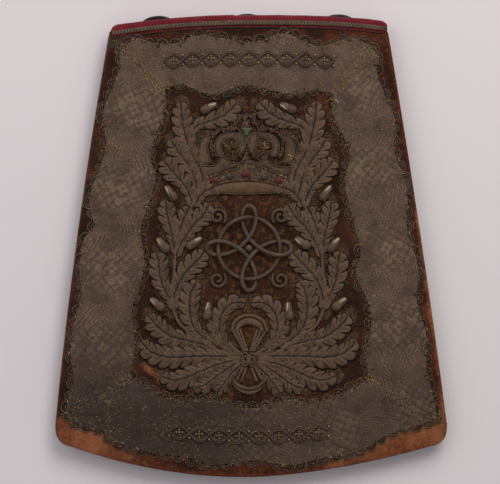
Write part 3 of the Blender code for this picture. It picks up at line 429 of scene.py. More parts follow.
class Work:
    """Places, faces and pattern places, gathered until a piece is finished."""

    def __init__(self):
        self.places, self.faces, self.corners, self.slots, self.marks = [], [], [], [], {}
        self.count = 0

    def add(self, places, faces, corners, slot=0, marks=None):
        """Adds faces on places of their own, with a pattern place for each corner."""
        places = np.asarray(places, float).reshape(-1, 3)
        for name, values in (marks or {}).items():
            self.marks.setdefault(name, []).append((self.count, np.asarray(values, float).ravel()))
        self.faces += [[self.count + index for index in face] for face in faces]
        self.places.append(places)
        self.corners.append(np.asarray(corners, float).reshape(-1, 2))
        self.slots += [slot] * len(faces)
        self.count += len(places)

    def loft(self, rings, closed=False, slot=0):
        """A body through rings of places, capped at its ends unless it closes on itself."""
        rings = np.asarray(rings, float)
        count, size = rings.shape[:2]
        middle = rings.mean(axis=1)
        steps = np.linalg.norm(np.diff(np.vstack((middle, middle[:1])), axis=0), axis=1)
        along = np.concatenate(([0.0], np.cumsum(steps)))
        sides = np.linalg.norm(np.diff(np.vstack((rings[0], rings[0][:1])), axis=0), axis=1)
        around = np.concatenate(([0.0], np.cumsum(sides)))
        i, k = np.meshgrid(np.arange(count if closed else count - 1), np.arange(size), indexing="ij")
        i, k = i.ravel(), k.ravel()
        j, m = (i + 1) % count, (k + 1) % size
        faces = np.stack((i * size + k, i * size + m, j * size + m, j * size + k), axis=1).tolist()
        corners = np.stack(
            (along[i], around[k], along[i], around[k + 1], along[i + 1], around[k + 1], along[i + 1], around[k]),
            axis=1,
        ).reshape(-1, 2)
        if not closed:
            faces += [list(range(size))[::-1], list(range((count - 1) * size, count * size))]
            corners = np.vstack((corners, np.zeros((size, 2)), np.full((size, 2), along[-2])))
        self.add(rings, faces, corners, slot)

    def cord(self, line, half, high=None, sides=8, closed=False, slot=0):
        """A round or oval cord along a line of places."""
        line = np.asarray(line, float)
        along = directions(line, closed)
        across = np.cross(along, (0.0, 0.0, 1.0))
        across /= np.maximum(np.linalg.norm(across, axis=1, keepdims=True), 1e-9)
        up = np.cross(across, along)
        turns = turns_of(sides) - pi / 2
        ring = (
            across[:, None] * (half * np.cos(turns))[None, :, None]
            + up[:, None] * ((high or half) * np.sin(turns))[None, :, None]
        )
        self.loft(line[:, None] + ring, closed, slot)

    def plate(self, top, bottom, pattern=None, rings=(), slot=0, marks=None):
        """A closed body from a grid of places on its face and one on its back, with rings between their rims."""
        rows, cols = top.shape[:2]
        order = np.arange(rows * cols).reshape(rows, cols)
        rim = np.concatenate((order[:, 0], order[-1, 1:], order[-2::-1, -1], order[0, -2:0:-1]))
        size, total = len(rim), rows * cols
        pattern = top[..., :2] if pattern is None else pattern
        pattern = np.asarray(pattern, float).reshape(-1, 2)
        a, b, c, d = order[:-1, :-1], order[1:, :-1], order[1:, 1:], order[:-1, 1:]
        face = np.stack((a, b, c, d), axis=-1).reshape(-1, 4)
        back_at = total + size * len(rings)
        levels = [rim] + [np.arange(size) + total + size * k for k in range(len(rings))] + [rim + back_at]
        faces, corners = [face], [pattern[face]]
        for upper, lower in zip(levels, levels[1:]):
            faces.append(np.stack((upper, lower, np.roll(lower, -1), np.roll(upper, -1)), axis=1))
            turned = np.roll(rim, -1)
            corners.append(pattern[np.stack((rim, rim, turned, turned), axis=1)])
        faces.append(face[:, ::-1] + back_at)
        corners.append(pattern[face[:, ::-1]])
        places = [top.reshape(-1, 3)] + [np.asarray(ring, float) for ring in rings] + [bottom.reshape(-1, 3)]
        spread = {}
        for name, values in (marks or {}).items():
            values = np.asarray(values, float).ravel()
            spread[name] = np.concatenate([values] + [values[rim]] * len(rings) + [values])
        self.add(
            np.vstack(places),
            np.vstack(faces).tolist(),
            np.concatenate([corner.reshape(-1, 2) for corner in corners]),
            slot,
            spread,
        )


def rim_of(grid):
    """The rim of a grid of places, counter-clockwise."""
    return np.concatenate((grid[:, 0], grid[-1, 1:], grid[-2::-1, -1], grid[0, -2:0:-1]))


def made_piece(name, work, finishes, nodes=(), body="pouch", angle=None):
    """Turns gathered work into a piece that rides on a body and stands for CAD nodes."""
    mesh = bpy.data.meshes.new(name)
    mesh.from_pydata((np.vstack(work.places) * MM).tolist(), [], work.faces)
    layer = mesh.uv_layers.new(name="pattern")
    layer.data.foreach_set("uv", np.concatenate(work.corners).ravel())
    mesh.polygons.foreach_set("material_index", work.slots)
    mesh.polygons.foreach_set("use_smooth", [True] * len(mesh.polygons))
    for mark, parts in work.marks.items():
        values = np.zeros(work.count)
        for start, given in parts:
            values[start : start + len(given)] = given
        mesh.attributes.new(mark, "FLOAT", "POINT").data.foreach_set("value", values)
    turned = bmesh.new()
    turned.from_mesh(mesh)
    bmesh.ops.recalc_face_normals(turned, faces=turned.faces)
    turned.to_mesh(mesh)
    turned.free()
    piece = bpy.data.objects.new(name, mesh)
    bpy.context.scene.collection.objects.link(piece)
    for finish in finishes:
        mesh.materials.append(finish)
    settle(piece, nodes, body, angle)
    return piece


def embroidered(name, work, finishes, *nodes):
    """A piece of metal embroidery on the pouch."""
    return made_piece(name, work, finishes, nodes)


def settle(piece, nodes=(), body="pouch", angle=None):
    """Puts a finished piece in the frame."""
    if angle is not None:
        clear_choice()
        choose(piece)
        bpy.ops.object.shade_smooth_by_angle(angle=radians(angle))
        clear_choice()
    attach(piece, body)
    if nodes:
        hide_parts(*nodes)


def clear_choice():
    """Nothing is chosen."""
    bpy.ops.object.select_all(action="DESELECT")


def choose(*pieces):
    """Chooses pieces; the first is the active one."""
    for piece in pieces:
        piece.select_set(True)
    bpy.context.view_layer.objects.active = pieces[0]


# Finishes


def tint(red, green, blue):
    """A colour as seen, as the renderer's own values."""
    made = []
    for value in (red, green, blue):
        share = value / 255
        made.append(share / 12.92 if share <= 0.04045 else ((share + 0.055) / 1.055) ** 2.4)
    return (*made, 1.0)


class Wire:
    """A socket that can stand in a sum."""

    def __init__(self, finish, socket):
        self.finish, self.socket = finish, socket

    def _math(self, way, other=0.0, turned=False):
        first, second = (other, self) if turned else (self, other)
        return self.finish.make("ShaderNodeMath", {"operation": way}, {0: first, 1: second})

    def __add__(self, other):
        return self._math("ADD", other)

    def __sub__(self, other):
        return self._math("SUBTRACT", other)

    def __rsub__(self, other):
        return self._math("SUBTRACT", other, True)

    def __mul__(self, other):
        return self._math("MULTIPLY", other)

    __radd__ = __add__
    __rmul__ = __mul__

    def sine(self):
        """The sine."""
        return self._math("SINE")

    def whole(self):
        """The value without its sign."""
        return self._math("ABSOLUTE")

    def most(self, other):
        """The larger of two values."""
        return self._math("MAXIMUM", other)

    def span(self, low, high):
        """0 at low and 1 at high, smoothly."""
        return self.finish.make(
            "ShaderNodeMapRange",
            {"interpolation_type": "SMOOTHSTEP", "clamp": True},
            {"Value": self, "From Min": low, "From Max": high},
        )


class Finish:
    """A material, and the nodes that make its pattern."""

    def __init__(self, name, **sockets):
        self.material = bpy.data.materials.new(name)
        self.material.use_nodes = True
        self.tree = self.material.node_tree
        self.shader = self.tree.nodes["Principled BSDF"]
        for key, value in sockets.items():
            self.feed(self.shader.inputs[key.replace("_", " ").title().replace("Ior", "IOR")], value)

    def feed(self, socket, value):
        """Links a wire to a socket, or sets the socket to a plain value."""
        if isinstance(value, Wire):
            self.tree.links.new(value.socket, socket)
        else:
            socket.default_value = value

    def make(self, kind, settings=None, sockets=None, out=0):
        """A new node with its settings and fed sockets; gives the wire of its outlet."""
        node = self.tree.nodes.new(kind)
        for key, value in (settings or {}).items():
            setattr(node, key, value)
        for key, value in (sockets or {}).items():
            self.feed(node.inputs[key], value)
        return Wire(self, node.outputs[out])

    def place(self):
        """Places in the piece, in metres."""
        return self.make("ShaderNodeTexCoord", out="Object")

    def pattern(self):
        """The piece's own pattern places, in millimetres along and across."""
        chart = self.make("ShaderNodeUVMap", {"uv_map": "pattern"})
        node = self.tree.nodes.new("ShaderNodeSeparateXYZ")
        self.feed(node.inputs[0], chart)
        return Wire(self, node.outputs["X"]), Wire(self, node.outputs["Y"])

    def vector(self, x, y, z=0.0):
        """A vector of three wires or numbers."""
        return self.make("ShaderNodeCombineXYZ", None, {"X": x, "Y": y, "Z": z})

    def mark(self, name):
        """A value kept with the piece's places."""
        return self.make("ShaderNodeAttribute", {"attribute_name": name}, out="Fac")

    def cloud(self, vector, scale, detail=2.0, roughness=0.5):
        """Soft noise between 0 and 1."""
        return self.make(
            "ShaderNodeTexNoise",
            {"noise_dimensions": "3D"},
            {"Vector": vector, "Scale": scale, "Detail": detail, "Roughness": roughness},
        )

    def blend(self, share, one, two):
        """A colour a share of the way from one to another."""
        return self.make(
            "ShaderNodeMix", {"data_type": "RGBA"}, {0: share, 6: one, 7: two}, out=2
        )

    def paint(self, colour, height=None, depth=0.0003, strength=1.0, **sockets):
        """Ends the pattern: colour, relief and other sockets of the shader."""
        self.feed(self.shader.inputs["Base Color"], colour)
        for key, value in sockets.items():
            self.feed(self.shader.inputs[key.title()], value)
        if height is not None:
            bump = self.make(
                "ShaderNodeBump", None, {"Strength": strength, "Distance": depth, "Height": height}
            )
            self.feed(self.shader.inputs["Normal"], bump)
        return self.material


def velvet_finish():
    """Worn silk velvet: near-black brown, rust where the pile is rubbed and tan where it is gone."""
    f = Finish(
        "worn_velvet", roughness=0.95, specular_ior_level=0.2,
        sheen_weight=0.12, sheen_roughness=0.5, sheen_tint=tint(150, 80, 45),
    )
    place = f.place()
    patches = f.cloud(place, 45.0, 4.0, 0.6)
    fine = f.cloud(place, 420.0, 3.0, 0.6)
    pile = f.cloud(place, 2100.0, 1.0)
    rust = (f.mark("rust") + (patches - 0.5) * 1.1 + (fine - 0.5) * 0.7).span(0.3, 0.85)
    tan = (f.mark("tan") + (patches - 0.5) * 0.7 + (fine - 0.5) * 0.35).span(0.35, 0.8)
    bits = f.cloud(place, 230.0, 3.0, 0.6)
    gold = (f.mark("ground") * 0.7 + (bits - 0.5) * 2.2 + (fine - 0.5) * 0.6).span(0.22, 0.85)
    grey = (f.mark("grey") + (fine - 0.5) * 0.7 + (patches - 0.5)).span(0.35, 0.85) * 0.75
    colour = f.blend(patches.span(0.35, 0.7), tint(40, 23, 14), tint(62, 36, 22))
    colour = f.blend(rust, colour, f.blend(fine.span(0.3, 0.8), tint(72, 35, 18), tint(116, 58, 29)))
    gilt = f.blend((fine + bits - 0.5).span(0.3, 0.72), tint(42, 25, 13), tint(104, 69, 34))
    colour = f.blend(gold * 0.9, colour, gilt)
    knobs = f.cloud(place, 1100.0, 1.0)
    filled = (f.mark("filling") + (bits - 0.5) * 0.8).span(0.3, 0.7) * 0.85
    coils = f.blend((knobs * 0.8 + fine * 0.3).span(0.4, 0.66), tint(28, 18, 11), tint(102, 78, 55))
    colour = f.blend(filled, colour, coils)
    worn = (patches * 1.1 + fine * 0.5 - 0.3).span(0.3, 0.75)
    colour = f.blend(tan, colour, f.blend(worn, tint(98, 52, 28), tint(150, 93, 60)))
    colour = f.blend(grey, colour, tint(66, 57, 53))
    colour = f.blend(pile * 0.25, colour, tint(24, 12, 8))
    return f.paint(colour, fine * 0.6 + pile, 0.00045, 0.7)


def lace_finish():
    """Tarnished metal lace: a fine diagonal weave with raised figures and flecks of gold."""
    f = Finish("metal_lace", metallic=0.2, specular_ior_level=0.35)
    along, across = f.pattern()
    place = f.place()
    one = ((along + across) * (2 * pi / 0.95)).sine()
    two = ((along - across) * (2 * pi / 0.95)).sine()
    weave = one * two * 0.5 + 0.5
    raised = f.mark("raised")
    rubbed = f.cloud(place, 60.0, 4.0, 0.6)
    grain = f.cloud(f.vector((along + across) * 0.8, (along - across) * 1.3), 1.0, 4.0, 0.75)
    fleck_one = f.cloud(f.vector((along + across) * 0.34, (along - across) * 1.7), 1.0, 1.0)
    fleck_two = f.cloud(f.vector((along + across) * 1.7, (along - across) * 0.34, 7.0), 1.0, 1.0)
    bright = f.mark("bright")
    flecks = (fleck_one.most(fleck_two) + bright * 0.05 + (rubbed - 0.5) * 0.12).span(0.7, 0.78)
    dark = f.mark("dark")
    drift = f.cloud(f.vector(along * 0.3, across * 0.3), 1.0, 2.0) * 9.0
    one = ((along + across) * (2 * pi / 2.2) + drift).sine()
    two = ((along - across) * (2 * pi / 2.2) + drift).sine()
    threads = one * two * 0.14 + grain * 1.15 + (rubbed - 0.5) * 0.35
    colour = f.blend(threads.span(0.32, 0.86), tint(50, 37, 29), tint(124, 98, 80))
    colour = f.blend(f.mark("sunk") * 0.6, colour, tint(42, 32, 26))
    colour = f.blend(raised * rubbed.span(0.34, 0.58) * 0.5, colour, tint(150, 127, 103))
    # Painted shade: the dark mark darkens the lace towards the bottom and the left.
    colour = f.blend(dark * 0.78, colour, tint(38, 27, 21))
    colour = f.blend(weave.span(0.55, 0.0) * 0.5, colour, tint(34, 25, 20))
    colour = f.blend(flecks * grain.span(0.3, 0.5), colour, tint(190, 156, 104))
    rough = 0.62 - flecks * 0.2
    return f.paint(colour, weave * 0.4 + threads + raised * 0.5, 0.0004, 0.6, roughness=rough)


def thread_finish(name, deep, low, high, pitch=0.5, slant=0.0, metallic=0.2, roughness=0.5):
    """Metal thread laid side by side, with painted shade in the grooves between the padded forms."""
    f = Finish(name, metallic=metallic, specular_ior_level=0.35)
    along, across = f.pattern()
    place = f.place()
    lines = ((along + across * slant) * (2 * pi / pitch)).sine() * 0.5 + 0.5
    worn = f.cloud(place, 160.0, 4.0, 0.6)
    fine = f.cloud(place, 900.0, 2.0)
    groove = f.mark("groove")
    colour = f.blend((worn * 0.6 + fine * 0.5).span(0.35, 0.75), tint(*low), tint(*high))
    colour = f.blend(lines.span(0.45, 0.0) * 0.6, colour, tint(*deep))
    # Painted shade: the groove mark darkens the colour to the deep tone in the grooves.
    colour = f.blend(groove.span(0.25, 0.8), colour, tint(*deep))
    flecks = f.cloud(place, 520.0, 1.0).span(0.74, 0.8)
    colour = f.blend(flecks * 0.7, colour, tint(186, 150, 98))
    rough = roughness + (worn - 0.5) * 0.25
    return f.paint(colour, lines + fine * 0.5, 0.0003, 0.6, roughness=rough)


def nut_finish():
    """Silver-gilt threads laid along the nut, some of them rubbed dark, and a painted highlight streaked down one
    side.
    """
    f = Finish("acorn_nut", metallic=0.3, specular_ior_level=0.4)
    along, across = f.pattern()
    lines = (across * (2 * pi / 1.3)).sine() * 0.5 + 0.5
    streaks = f.cloud(f.vector(along * 0.12, across * 1.1), 1.0, 2.0)
    # Painted highlight: a bright streak down one side of the nut.
    painted_highlight = (1.0 - (across - 5.4).whole() * 0.5).span(0.2, 0.8) * streaks.span(0.4, 0.6) * (lines * 0.7 + 0.3)
    colour = f.blend(streaks.span(0.35, 0.65), tint(72, 56, 42), tint(122, 100, 78))
    colour = f.blend(lines.span(0.5, 0.0) * 0.6, colour, tint(50, 36, 26))
    colour = f.blend(painted_highlight * 0.8, colour, tint(206, 182, 146))
    return f.paint(colour, lines, 0.0003, 0.6, roughness=0.42 + lines * 0.2)


def cloth_finish(name, low, high, worn):
    """A close ribbed cloth, paler where it is rubbed."""
    pitch = 0.7
    f = Finish(name, roughness=0.92, sheen_weight=0.08, sheen_roughness=0.4, specular_ior_level=0.25)
    place = f.place()
    along, across = f.pattern()
    rib = (along * (2 * pi / pitch)).sine() * (across * (2 * pi / (pitch * 1.3))).sine() * 0.5 + 0.5
    patches = f.cloud(place, 70.0, 4.0, 0.6)
    fine = f.cloud(place, 700.0, 3.0, 0.6)
    colour = f.blend(patches.span(0.3, 0.7), tint(*low), tint(*high))
    colour = f.blend((fine * 0.6 + patches * 0.5).span(0.66, 0.8) * 0.6, colour, tint(*worn))
    colour = f.blend(rib.span(0.5, 0.0) * 0.35, colour, tint(*[value * 0.4 for value in low]))
    return f.paint(colour, rib + fine, 0.0003, 0.6)


def leather_finish(name, low, high):
    """Waxed leather with its grain and rubbed edges."""
    f = Finish(name, specular_ior_level=0.4)
    place = f.place()
    patches = f.cloud(place, 38.0, 5.0, 0.6)
    grain = f.make("ShaderNodeTexVoronoi", {"feature": "DISTANCE_TO_EDGE"}, {"Vector": place, "Scale": 900.0})
    scuffs = f.cloud(place, 260.0, 3.0, 0.7)
    colour = f.blend(patches.span(0.3, 0.7), tint(*low), tint(*high))
    colour = f.blend(scuffs.span(0.62, 0.75) * 0.5, colour, tint(104, 76, 54))
    rough = 0.55 + scuffs * 0.25
    return f.paint(colour, grain.span(0.0, 0.12) + patches * 0.5, 0.0003, 0.5, roughness=rough)


def ring_finish():
    """Blackened iron, rubbed bright in specks."""
    f = Finish("blackened_iron", metallic=0.7)
    place = f.place()
    skin = f.cloud(place, 260.0, 5.0, 0.65)
    rub = f.cloud(place, 90.0, 2.0)
    colour = f.blend(skin.span(0.35, 0.7), tint(20, 22, 23), tint(52, 56, 56))
    colour = f.blend((skin * 0.5 + rub * 0.6).span(0.66, 0.76) * 0.6, colour, tint(120, 118, 112))
    return f.paint(colour, skin, 0.0002, 0.5, roughness=0.3 + skin * 0.35)


def stone_finish(name, deep, light, rubbed_at=None):
    """A cut glass stone, dull with age, that lets its foil show in slanting streaks."""
    f = Finish(name, coat_weight=0.2, coat_roughness=0.2, specular_ior_level=0.3)
    place = f.place()
    along, across = f.pattern()
    cloudy = f.cloud(place, 420.0, 3.0, 0.6)
    streaks = ((along * 0.8 + across + cloudy * 2.0) * (2 * pi / 1.9)).sine() * 0.5 + 0.5
    colour = f.blend((streaks * 0.6 + cloudy * 0.5).span(0.42, 0.86), tint(*deep), tint(*light))
    if rubbed_at is not None:
        colour = f.blend((across - rubbed_at).whole().span(2.4, 0.8) * 0.85, colour, tint(62, 54, 38))
    return f.paint(colour, cloudy, 0.0001, 0.3, roughness=0.25 + cloudy * 0.25)


def floor_finish():
    """A pale, dull floor."""
    f = Finish("studio_floor", roughness=0.9, specular_ior_level=0.1)
    cloudy = f.cloud(f.place(), 3.0, 2.0)
    return f.paint(f.blend(cloudy, tint(226, 219, 220), tint(230, 223, 224)))


VELVET_LOOK = velvet_finish()
LACE_LOOK = lace_finish()
LEAF_LOOK = thread_finish("leaf_thread", (18, 11, 6), (74, 54, 38), (114, 87, 64), 1.3)
CORD_LOOK = thread_finish("couched_cord", (22, 14, 10), (64, 49, 38), (102, 81, 63), 1.5, 0.9)
EDGE_LOOK = thread_finish("gimp_thread", (16, 11, 8), (46, 35, 27), (82, 66, 51), 0.9, 0.9)
SATIN_LOOK = thread_finish("satin_thread", (28, 17, 10), (72, 53, 38), (106, 81, 58), 0.9)
PURL_LOOK = thread_finish("checked_purl", (26, 17, 10), (80, 60, 42), (146, 120, 90), 0.9, 0.7)
WARM_LOOK = thread_finish("warm_satin_thread", (36, 22, 12), (86, 63, 43), (120, 90, 60), 0.7)
GOLD_LOOK = thread_finish("gold_thread", (84, 58, 28), (150, 116, 68), (204, 172, 118), 0.6, 0.6, 0.5, 0.4)
NUT_LOOK = nut_finish()
CUP_LOOK = thread_finish("acorn_cup", (20, 13, 8), (66, 50, 38), (112, 90, 70), 1.5, 1.0)
BEAD_LOOK = thread_finish("dark_bead", (16, 9, 6), (50, 33, 24), (108, 84, 66), 1.1, 0.5, 0.0, 0.8)
EDGE_PALE = thread_finish("gimp_thread_pale", (30, 22, 16), (82, 67, 54), (128, 108, 84), 0.9, 0.9)
BRAID_LOOK = thread_finish("top_braid_thread", (30, 22, 16), (78, 62, 48), (126, 102, 76), 1.2, 1.0)
CRIMSON_LOOK = cloth_finish("crimson_cloth_worn", (92, 14, 24), (116, 24, 36), (124, 50, 52))
LEATHER_LOOK = leather_finish("waxed_leather", (34, 24, 20), (62, 42, 32))
LINING_LOOK = leather_finish("pocket_leather", (70, 44, 30), (96, 62, 42))
STITCH_LOOK = thread_finish("linen_stitch", (70, 56, 40), (150, 132, 104), (188, 170, 140), 0.6, 0.8, 0.0, 0.8)
RING_LOOK = ring_finish()
RED_LOOK = stone_finish("red_glass", (54, 32, 25), (124, 24, 40))
GREEN_LOOK = stone_finish("green_glass", (50, 46, 36), (56, 66, 52))
PIPING_LOOK = cloth_finish("dark_crimson_piping", (100, 16, 30), (130, 26, 42), (110, 44, 52))
WEDGE_LOOK = stone_finish("green_glass_wedge", (40, 66, 42), (92, 146, 98), 89.4)


# Velvet


def lace_loop(inner):
    """The whole outer or inner edge of the lace, counter-clockwise."""
    edges = (
        (LACE_INNER_LEFT, LACE_INNER_BOTTOM, LACE_INNER_RIGHT, LACE_INNER_TOP)
        if inner
        else (LACE_OUTER_LEFT, LACE_OUTER_BOTTOM, LACE_OUTER_RIGHT, LACE_OUTER_TOP)
    )
    made = []
    for edge in edges:
        made += smooth(edge[::-1], 8)[:-1]
    return made


def tree_of(points):
    """A search tree of flat places."""
    tree = kdtree.KDTree(len(points))
    for index, point in enumerate(points):
        tree.insert((point[0], point[1], 0.0), index)
    tree.balance()
    return tree


def distances(tree, places):
    """How far each place lies from a tree's nearest."""
    flat = places.reshape(-1, places.shape[-1])
    return np.array([tree.find((p[0], p[1], 0.0))[2] for p in flat]).reshape(places.shape[:-1])


def stretched_grid(sides, foot, top, rows, cols):
    """A grid of places between a left and a right side, a foot and a top."""
    left, right = (evenly(side, rows) for side in sides)
    foot, top = evenly(foot, cols), evenly(top, cols)
    v = np.linspace(0, 1, rows)[:, None, None]
    u = np.linspace(0, 1, cols)[None, :, None]
    made = (1 - u) * left[:, None] + u * right[:, None] + (1 - v) * top[None] + v * foot[None]
    made -= (1 - u) * (1 - v) * top[0] + u * (1 - v) * top[-1] + (1 - u) * v * foot[0] + u * v * foot[-1]
    return made


def pouch_grid(inset, top_left, top_right, top_line, rows, cols):
    """A grid over the flap's outline, moved in by inset, below a top line."""
    outline = outline_below(inset, top_left, top_right, 24, 40)
    left = outline[:25]
    right = outline[-25:][::-1]
    foot = outline[24:-24]
    return stretched_grid((left, right), foot, top_line, rows, cols)


def high(grid, z):
    """A flat grid lifted to a height or heights."""
    return np.dstack((grid, np.broadcast_to(z, grid.shape[:2])))


VELVET_GRID = (178, 150)
VELVET_ROUND = 1.2
VELVET_ROUGH = 0.12
TURNED_EDGE = 5.0 * 1200.0

# Places on the velvet: the middle of the wreath, a rusty and a bare patch, and the bow's two openings
WREATH_X = -2.0
RUST_PATCH = (62.0, 106.0)
BARE_PATCH = (-79.0, -97.5)
BOW_OPENINGS = ((-1.7, -71.0), (-1.7, -102.0))


def fade(value, start, width):
    """0 up to start, and 1 from start + width on."""
    return np.clip((value - start) / width, 0, 1)


def wear(grid, sides):
    """How far the velvet is rubbed to rust, bare to tan, gilt, filled with coils or greyed, at each place."""
    outer, inner = (tree_of(evenly(lace_loop(side), 1400)) for side in (False, True))
    lace = np.minimum(distances(outer, grid), distances(inner, grid))
    middles = []
    for _name, _half, midrib in LEAVES:
        for side in ("left", "right"):
            middles += [tuple(place) for place in evenly(smooth(branch_line(midrib, side), 6), 24)]
    wreath = distances(tree_of(middles), grid)
    edge = distances(tree_of(sides), grid)
    x, y = grid[..., 0], grid[..., 1]
    reach = np.hypot(x - KNOT_PLACE[0], y - KNOT_PLACE[1])
    off = np.abs(x - WREATH_X)
    outside = (x < -92 - (150 - y) * 0.12) | (x > 88 + (150 - y) * 0.14) | (y > 145) | (y < -140)
    inside = 1.0 * ((off < 62) & (y > -118) & (y < 108))
    near_lace = np.where(outside, 0.3, np.where(x < 0, 0.56, 0.72))
    rust = np.exp(-lace / 2.2) * near_lace + np.exp(-edge / 0.9) * 0.4
    rust += np.where(outside, 0.26, 0.1 * (off > 50)) + np.where(y > 140, 0.16, 0.0)
    rust += np.where(outside, np.where(x > 60, 0.14, -0.05), 0.0) + 0.3 * fade(-y, 150, 10)
    rust += 0.5 * np.exp(-((x - RUST_PATCH[0]) / 8) ** 2 - ((y - RUST_PATCH[1]) / 12) ** 2)
    foot = fade(-y, 128, 14) * np.clip(1.25 - edge / 22, 0, 1)
    tan = foot * (0.3 + 0.9 * np.where(x < 0, fade(-x, 78, 32), fade(x, 37, 70)))
    tan += 0.75 * np.exp(-edge / 4.0) * fade(x, 100, 12) * fade(-y, -66, 50)
    slope = y - BARE_PATCH[1] + 0.7 * (x - BARE_PATCH[0] + 0.5)
    tan += 0.7 * np.exp(-((x - BARE_PATCH[0]) / 11) ** 2 - (slope / 5.5) ** 2)
    ground = 0.5 * fade(-off, -60, 8) * inside + 0.5 * np.exp(-((wreath / 8) ** 4))
    ground = np.minimum(ground, 0.8) + 0.1 * np.exp(-((reach / 38) ** 6))
    for bow_x, bow_y in BOW_OPENINGS:
        ground += 0.5 * np.exp(-((np.hypot(x - bow_x, y - bow_y) / 6) ** 4))
    filling = np.exp(-((wreath / 7.5) ** 6)) * fade(lace, 3, 4)
    grey = fade(y - 0.22 * (x + 84), 157, 3) * fade(-x, 84, 4) * fade(-y, -167, 3)
    return {"rust": rust, "tan": tan, "ground": ground, "filling": filling, "grey": grey}


def velvet():
    """The velvet facing: a grid over the outline, turned down round the board's edge but not at the top."""
    rows, cols = VELVET_GRID
    span = np.linspace(SIDE_TOP_LEFT[0] + 3.2, SIDE_TOP_RIGHT[0] - 3.4, 40)
    top = [(x, top_y(x) - BINDING_DEPTH + 1.2) for x in span]
    grid = pouch_grid(VELVET_ROUND, VELVET_TOP_LEFT + 6, VELVET_TOP_RIGHT + 2, top, rows, cols)
    face = high(grid, FACE_Z + flap_forms(grid) + VELVET_ROUGH * rough_at(grid, 9.0))
    rim = rim_of(grid)
    count = len(rim)
    foot_to = rows + cols - 2 + rows
    marks = wear(grid, rim[:foot_to])
    ends = np.ones(count)
    ends[foot_to:] = 0.0
    ends[[0, foot_to - 1]] = 0.0
    out = np.array(offset_loop([tuple(p) for p in rim], 1.0)) - rim
    out *= ends[:, None]
    form = flap_forms(rim)
    rings = []
    for turn in (30, 60, 90):
        place = rim + out * VELVET_ROUND * sin(radians(turn))
        rings.append(np.column_stack((place, FACE_Z - VELVET_ROUND * (1 - cos(radians(turn))) + form)))
    for reach, z in (
        (VELVET_ROUND, FLAP_Z + 0.4), (VELVET_ROUND - 0.4, FLAP_Z), (-0.3, FLAP_Z), (-0.3, VELVET_Z + 0.1)
    ):
        rings.append(np.column_stack((rim + out * reach, np.full(count, z) + form)))
    for ring in rings:
        ring[:, 2] = np.where(ends > 0, ring[:, 2], np.maximum(ring[:, 2], VELVET_Z + 0.1 + form))
    work = Work()
    work.plate(face, high(grid, VELVET_Z + flap_forms(grid)), None, rings, 0, marks)
    piece = made_piece("velvet_cover", work, [VELVET_LOOK], ["velvet_face"])
    float(area_of(grid) + TURNED_EDGE) * MM * MM


# Lace


LACE_STRIPS = (
    ("top", LACE_OUTER_TOP, LACE_INNER_TOP, 210, 46),
    ("right", LACE_OUTER_RIGHT, LACE_INNER_RIGHT, 270, 50),
    ("bottom", LACE_OUTER_BOTTOM, LACE_INNER_BOTTOM, 280, 52),
    ("left", LACE_OUTER_LEFT, LACE_INNER_LEFT, 270, 50),
)
LACE_DRAWN_IN = 3.2
FIGURE = 63.0
FIGURE_HALF = 20.5
FIGURE_ARCH = 0.019
CELL = 5.2
STITCH = 2.7


def lace_figures(along, across, which):
    """Raised and sunk parts of the lace: arched fields of small lozenges, between rows of slanting stitches."""
    cell = ((along / FIGURE + 0.3 * which) % 1.0 - 0.5) * FIGURE
    reach = (np.abs(cell) + FIGURE_ARCH * across**2) / FIGURE_HALF
    one = np.abs(np.sin(pi * (cell + across) / (CELL * 1.41)))
    two = np.abs(np.sin(pi * (cell - across) / (CELL * 1.41)))
    pillows = np.clip(1.9 * one * two - 0.7, 0, 1)
    net = np.clip(1.1 - 5.0 * np.minimum(one, two), 0, 1)
    inside = np.clip((0.92 - reach) / 0.04, 0, 1)
    slant = np.clip(np.sin(2 * pi * (across + 0.7 * cell * np.sign(across)) / STITCH) * 1.7, 0, 1)
    rows = np.zeros_like(reach)
    for at, low, far in ((1.0, -1, 30), (1.12, -1, 30), (1.42, 5, 14), (1.53, 3, 11)):
        here = (np.abs(across) > low) & (np.abs(across) < far)
        rows = np.maximum(rows, here * np.clip(1.3 - np.abs(reach - at) / 0.05, 0, 1))
    flowers = np.zeros_like(reach)
    for x, y in ((0.0, 0.0), (-10.4, 0.0), (10.4, 0.0), (0.0, 10.4), (0.0, -10.4), (-7.0, 8.0), (7.0, -8.0)):
        flowers = np.maximum(flowers, np.clip(1.4 - np.abs(np.hypot(across - x, cell - y) - 2.2) / 0.7, 0, 1))
    strength = 0.3 if which == 0 else 1.0
    raised = np.clip(inside * pillows * 0.55 + rows * slant + 0.8 * inside * flowers, 0, 1)
    sunk = np.clip(inside * net + rows * (1 - slant), 0, 1) * (1 - raised)
    return strength * raised, strength * sunk


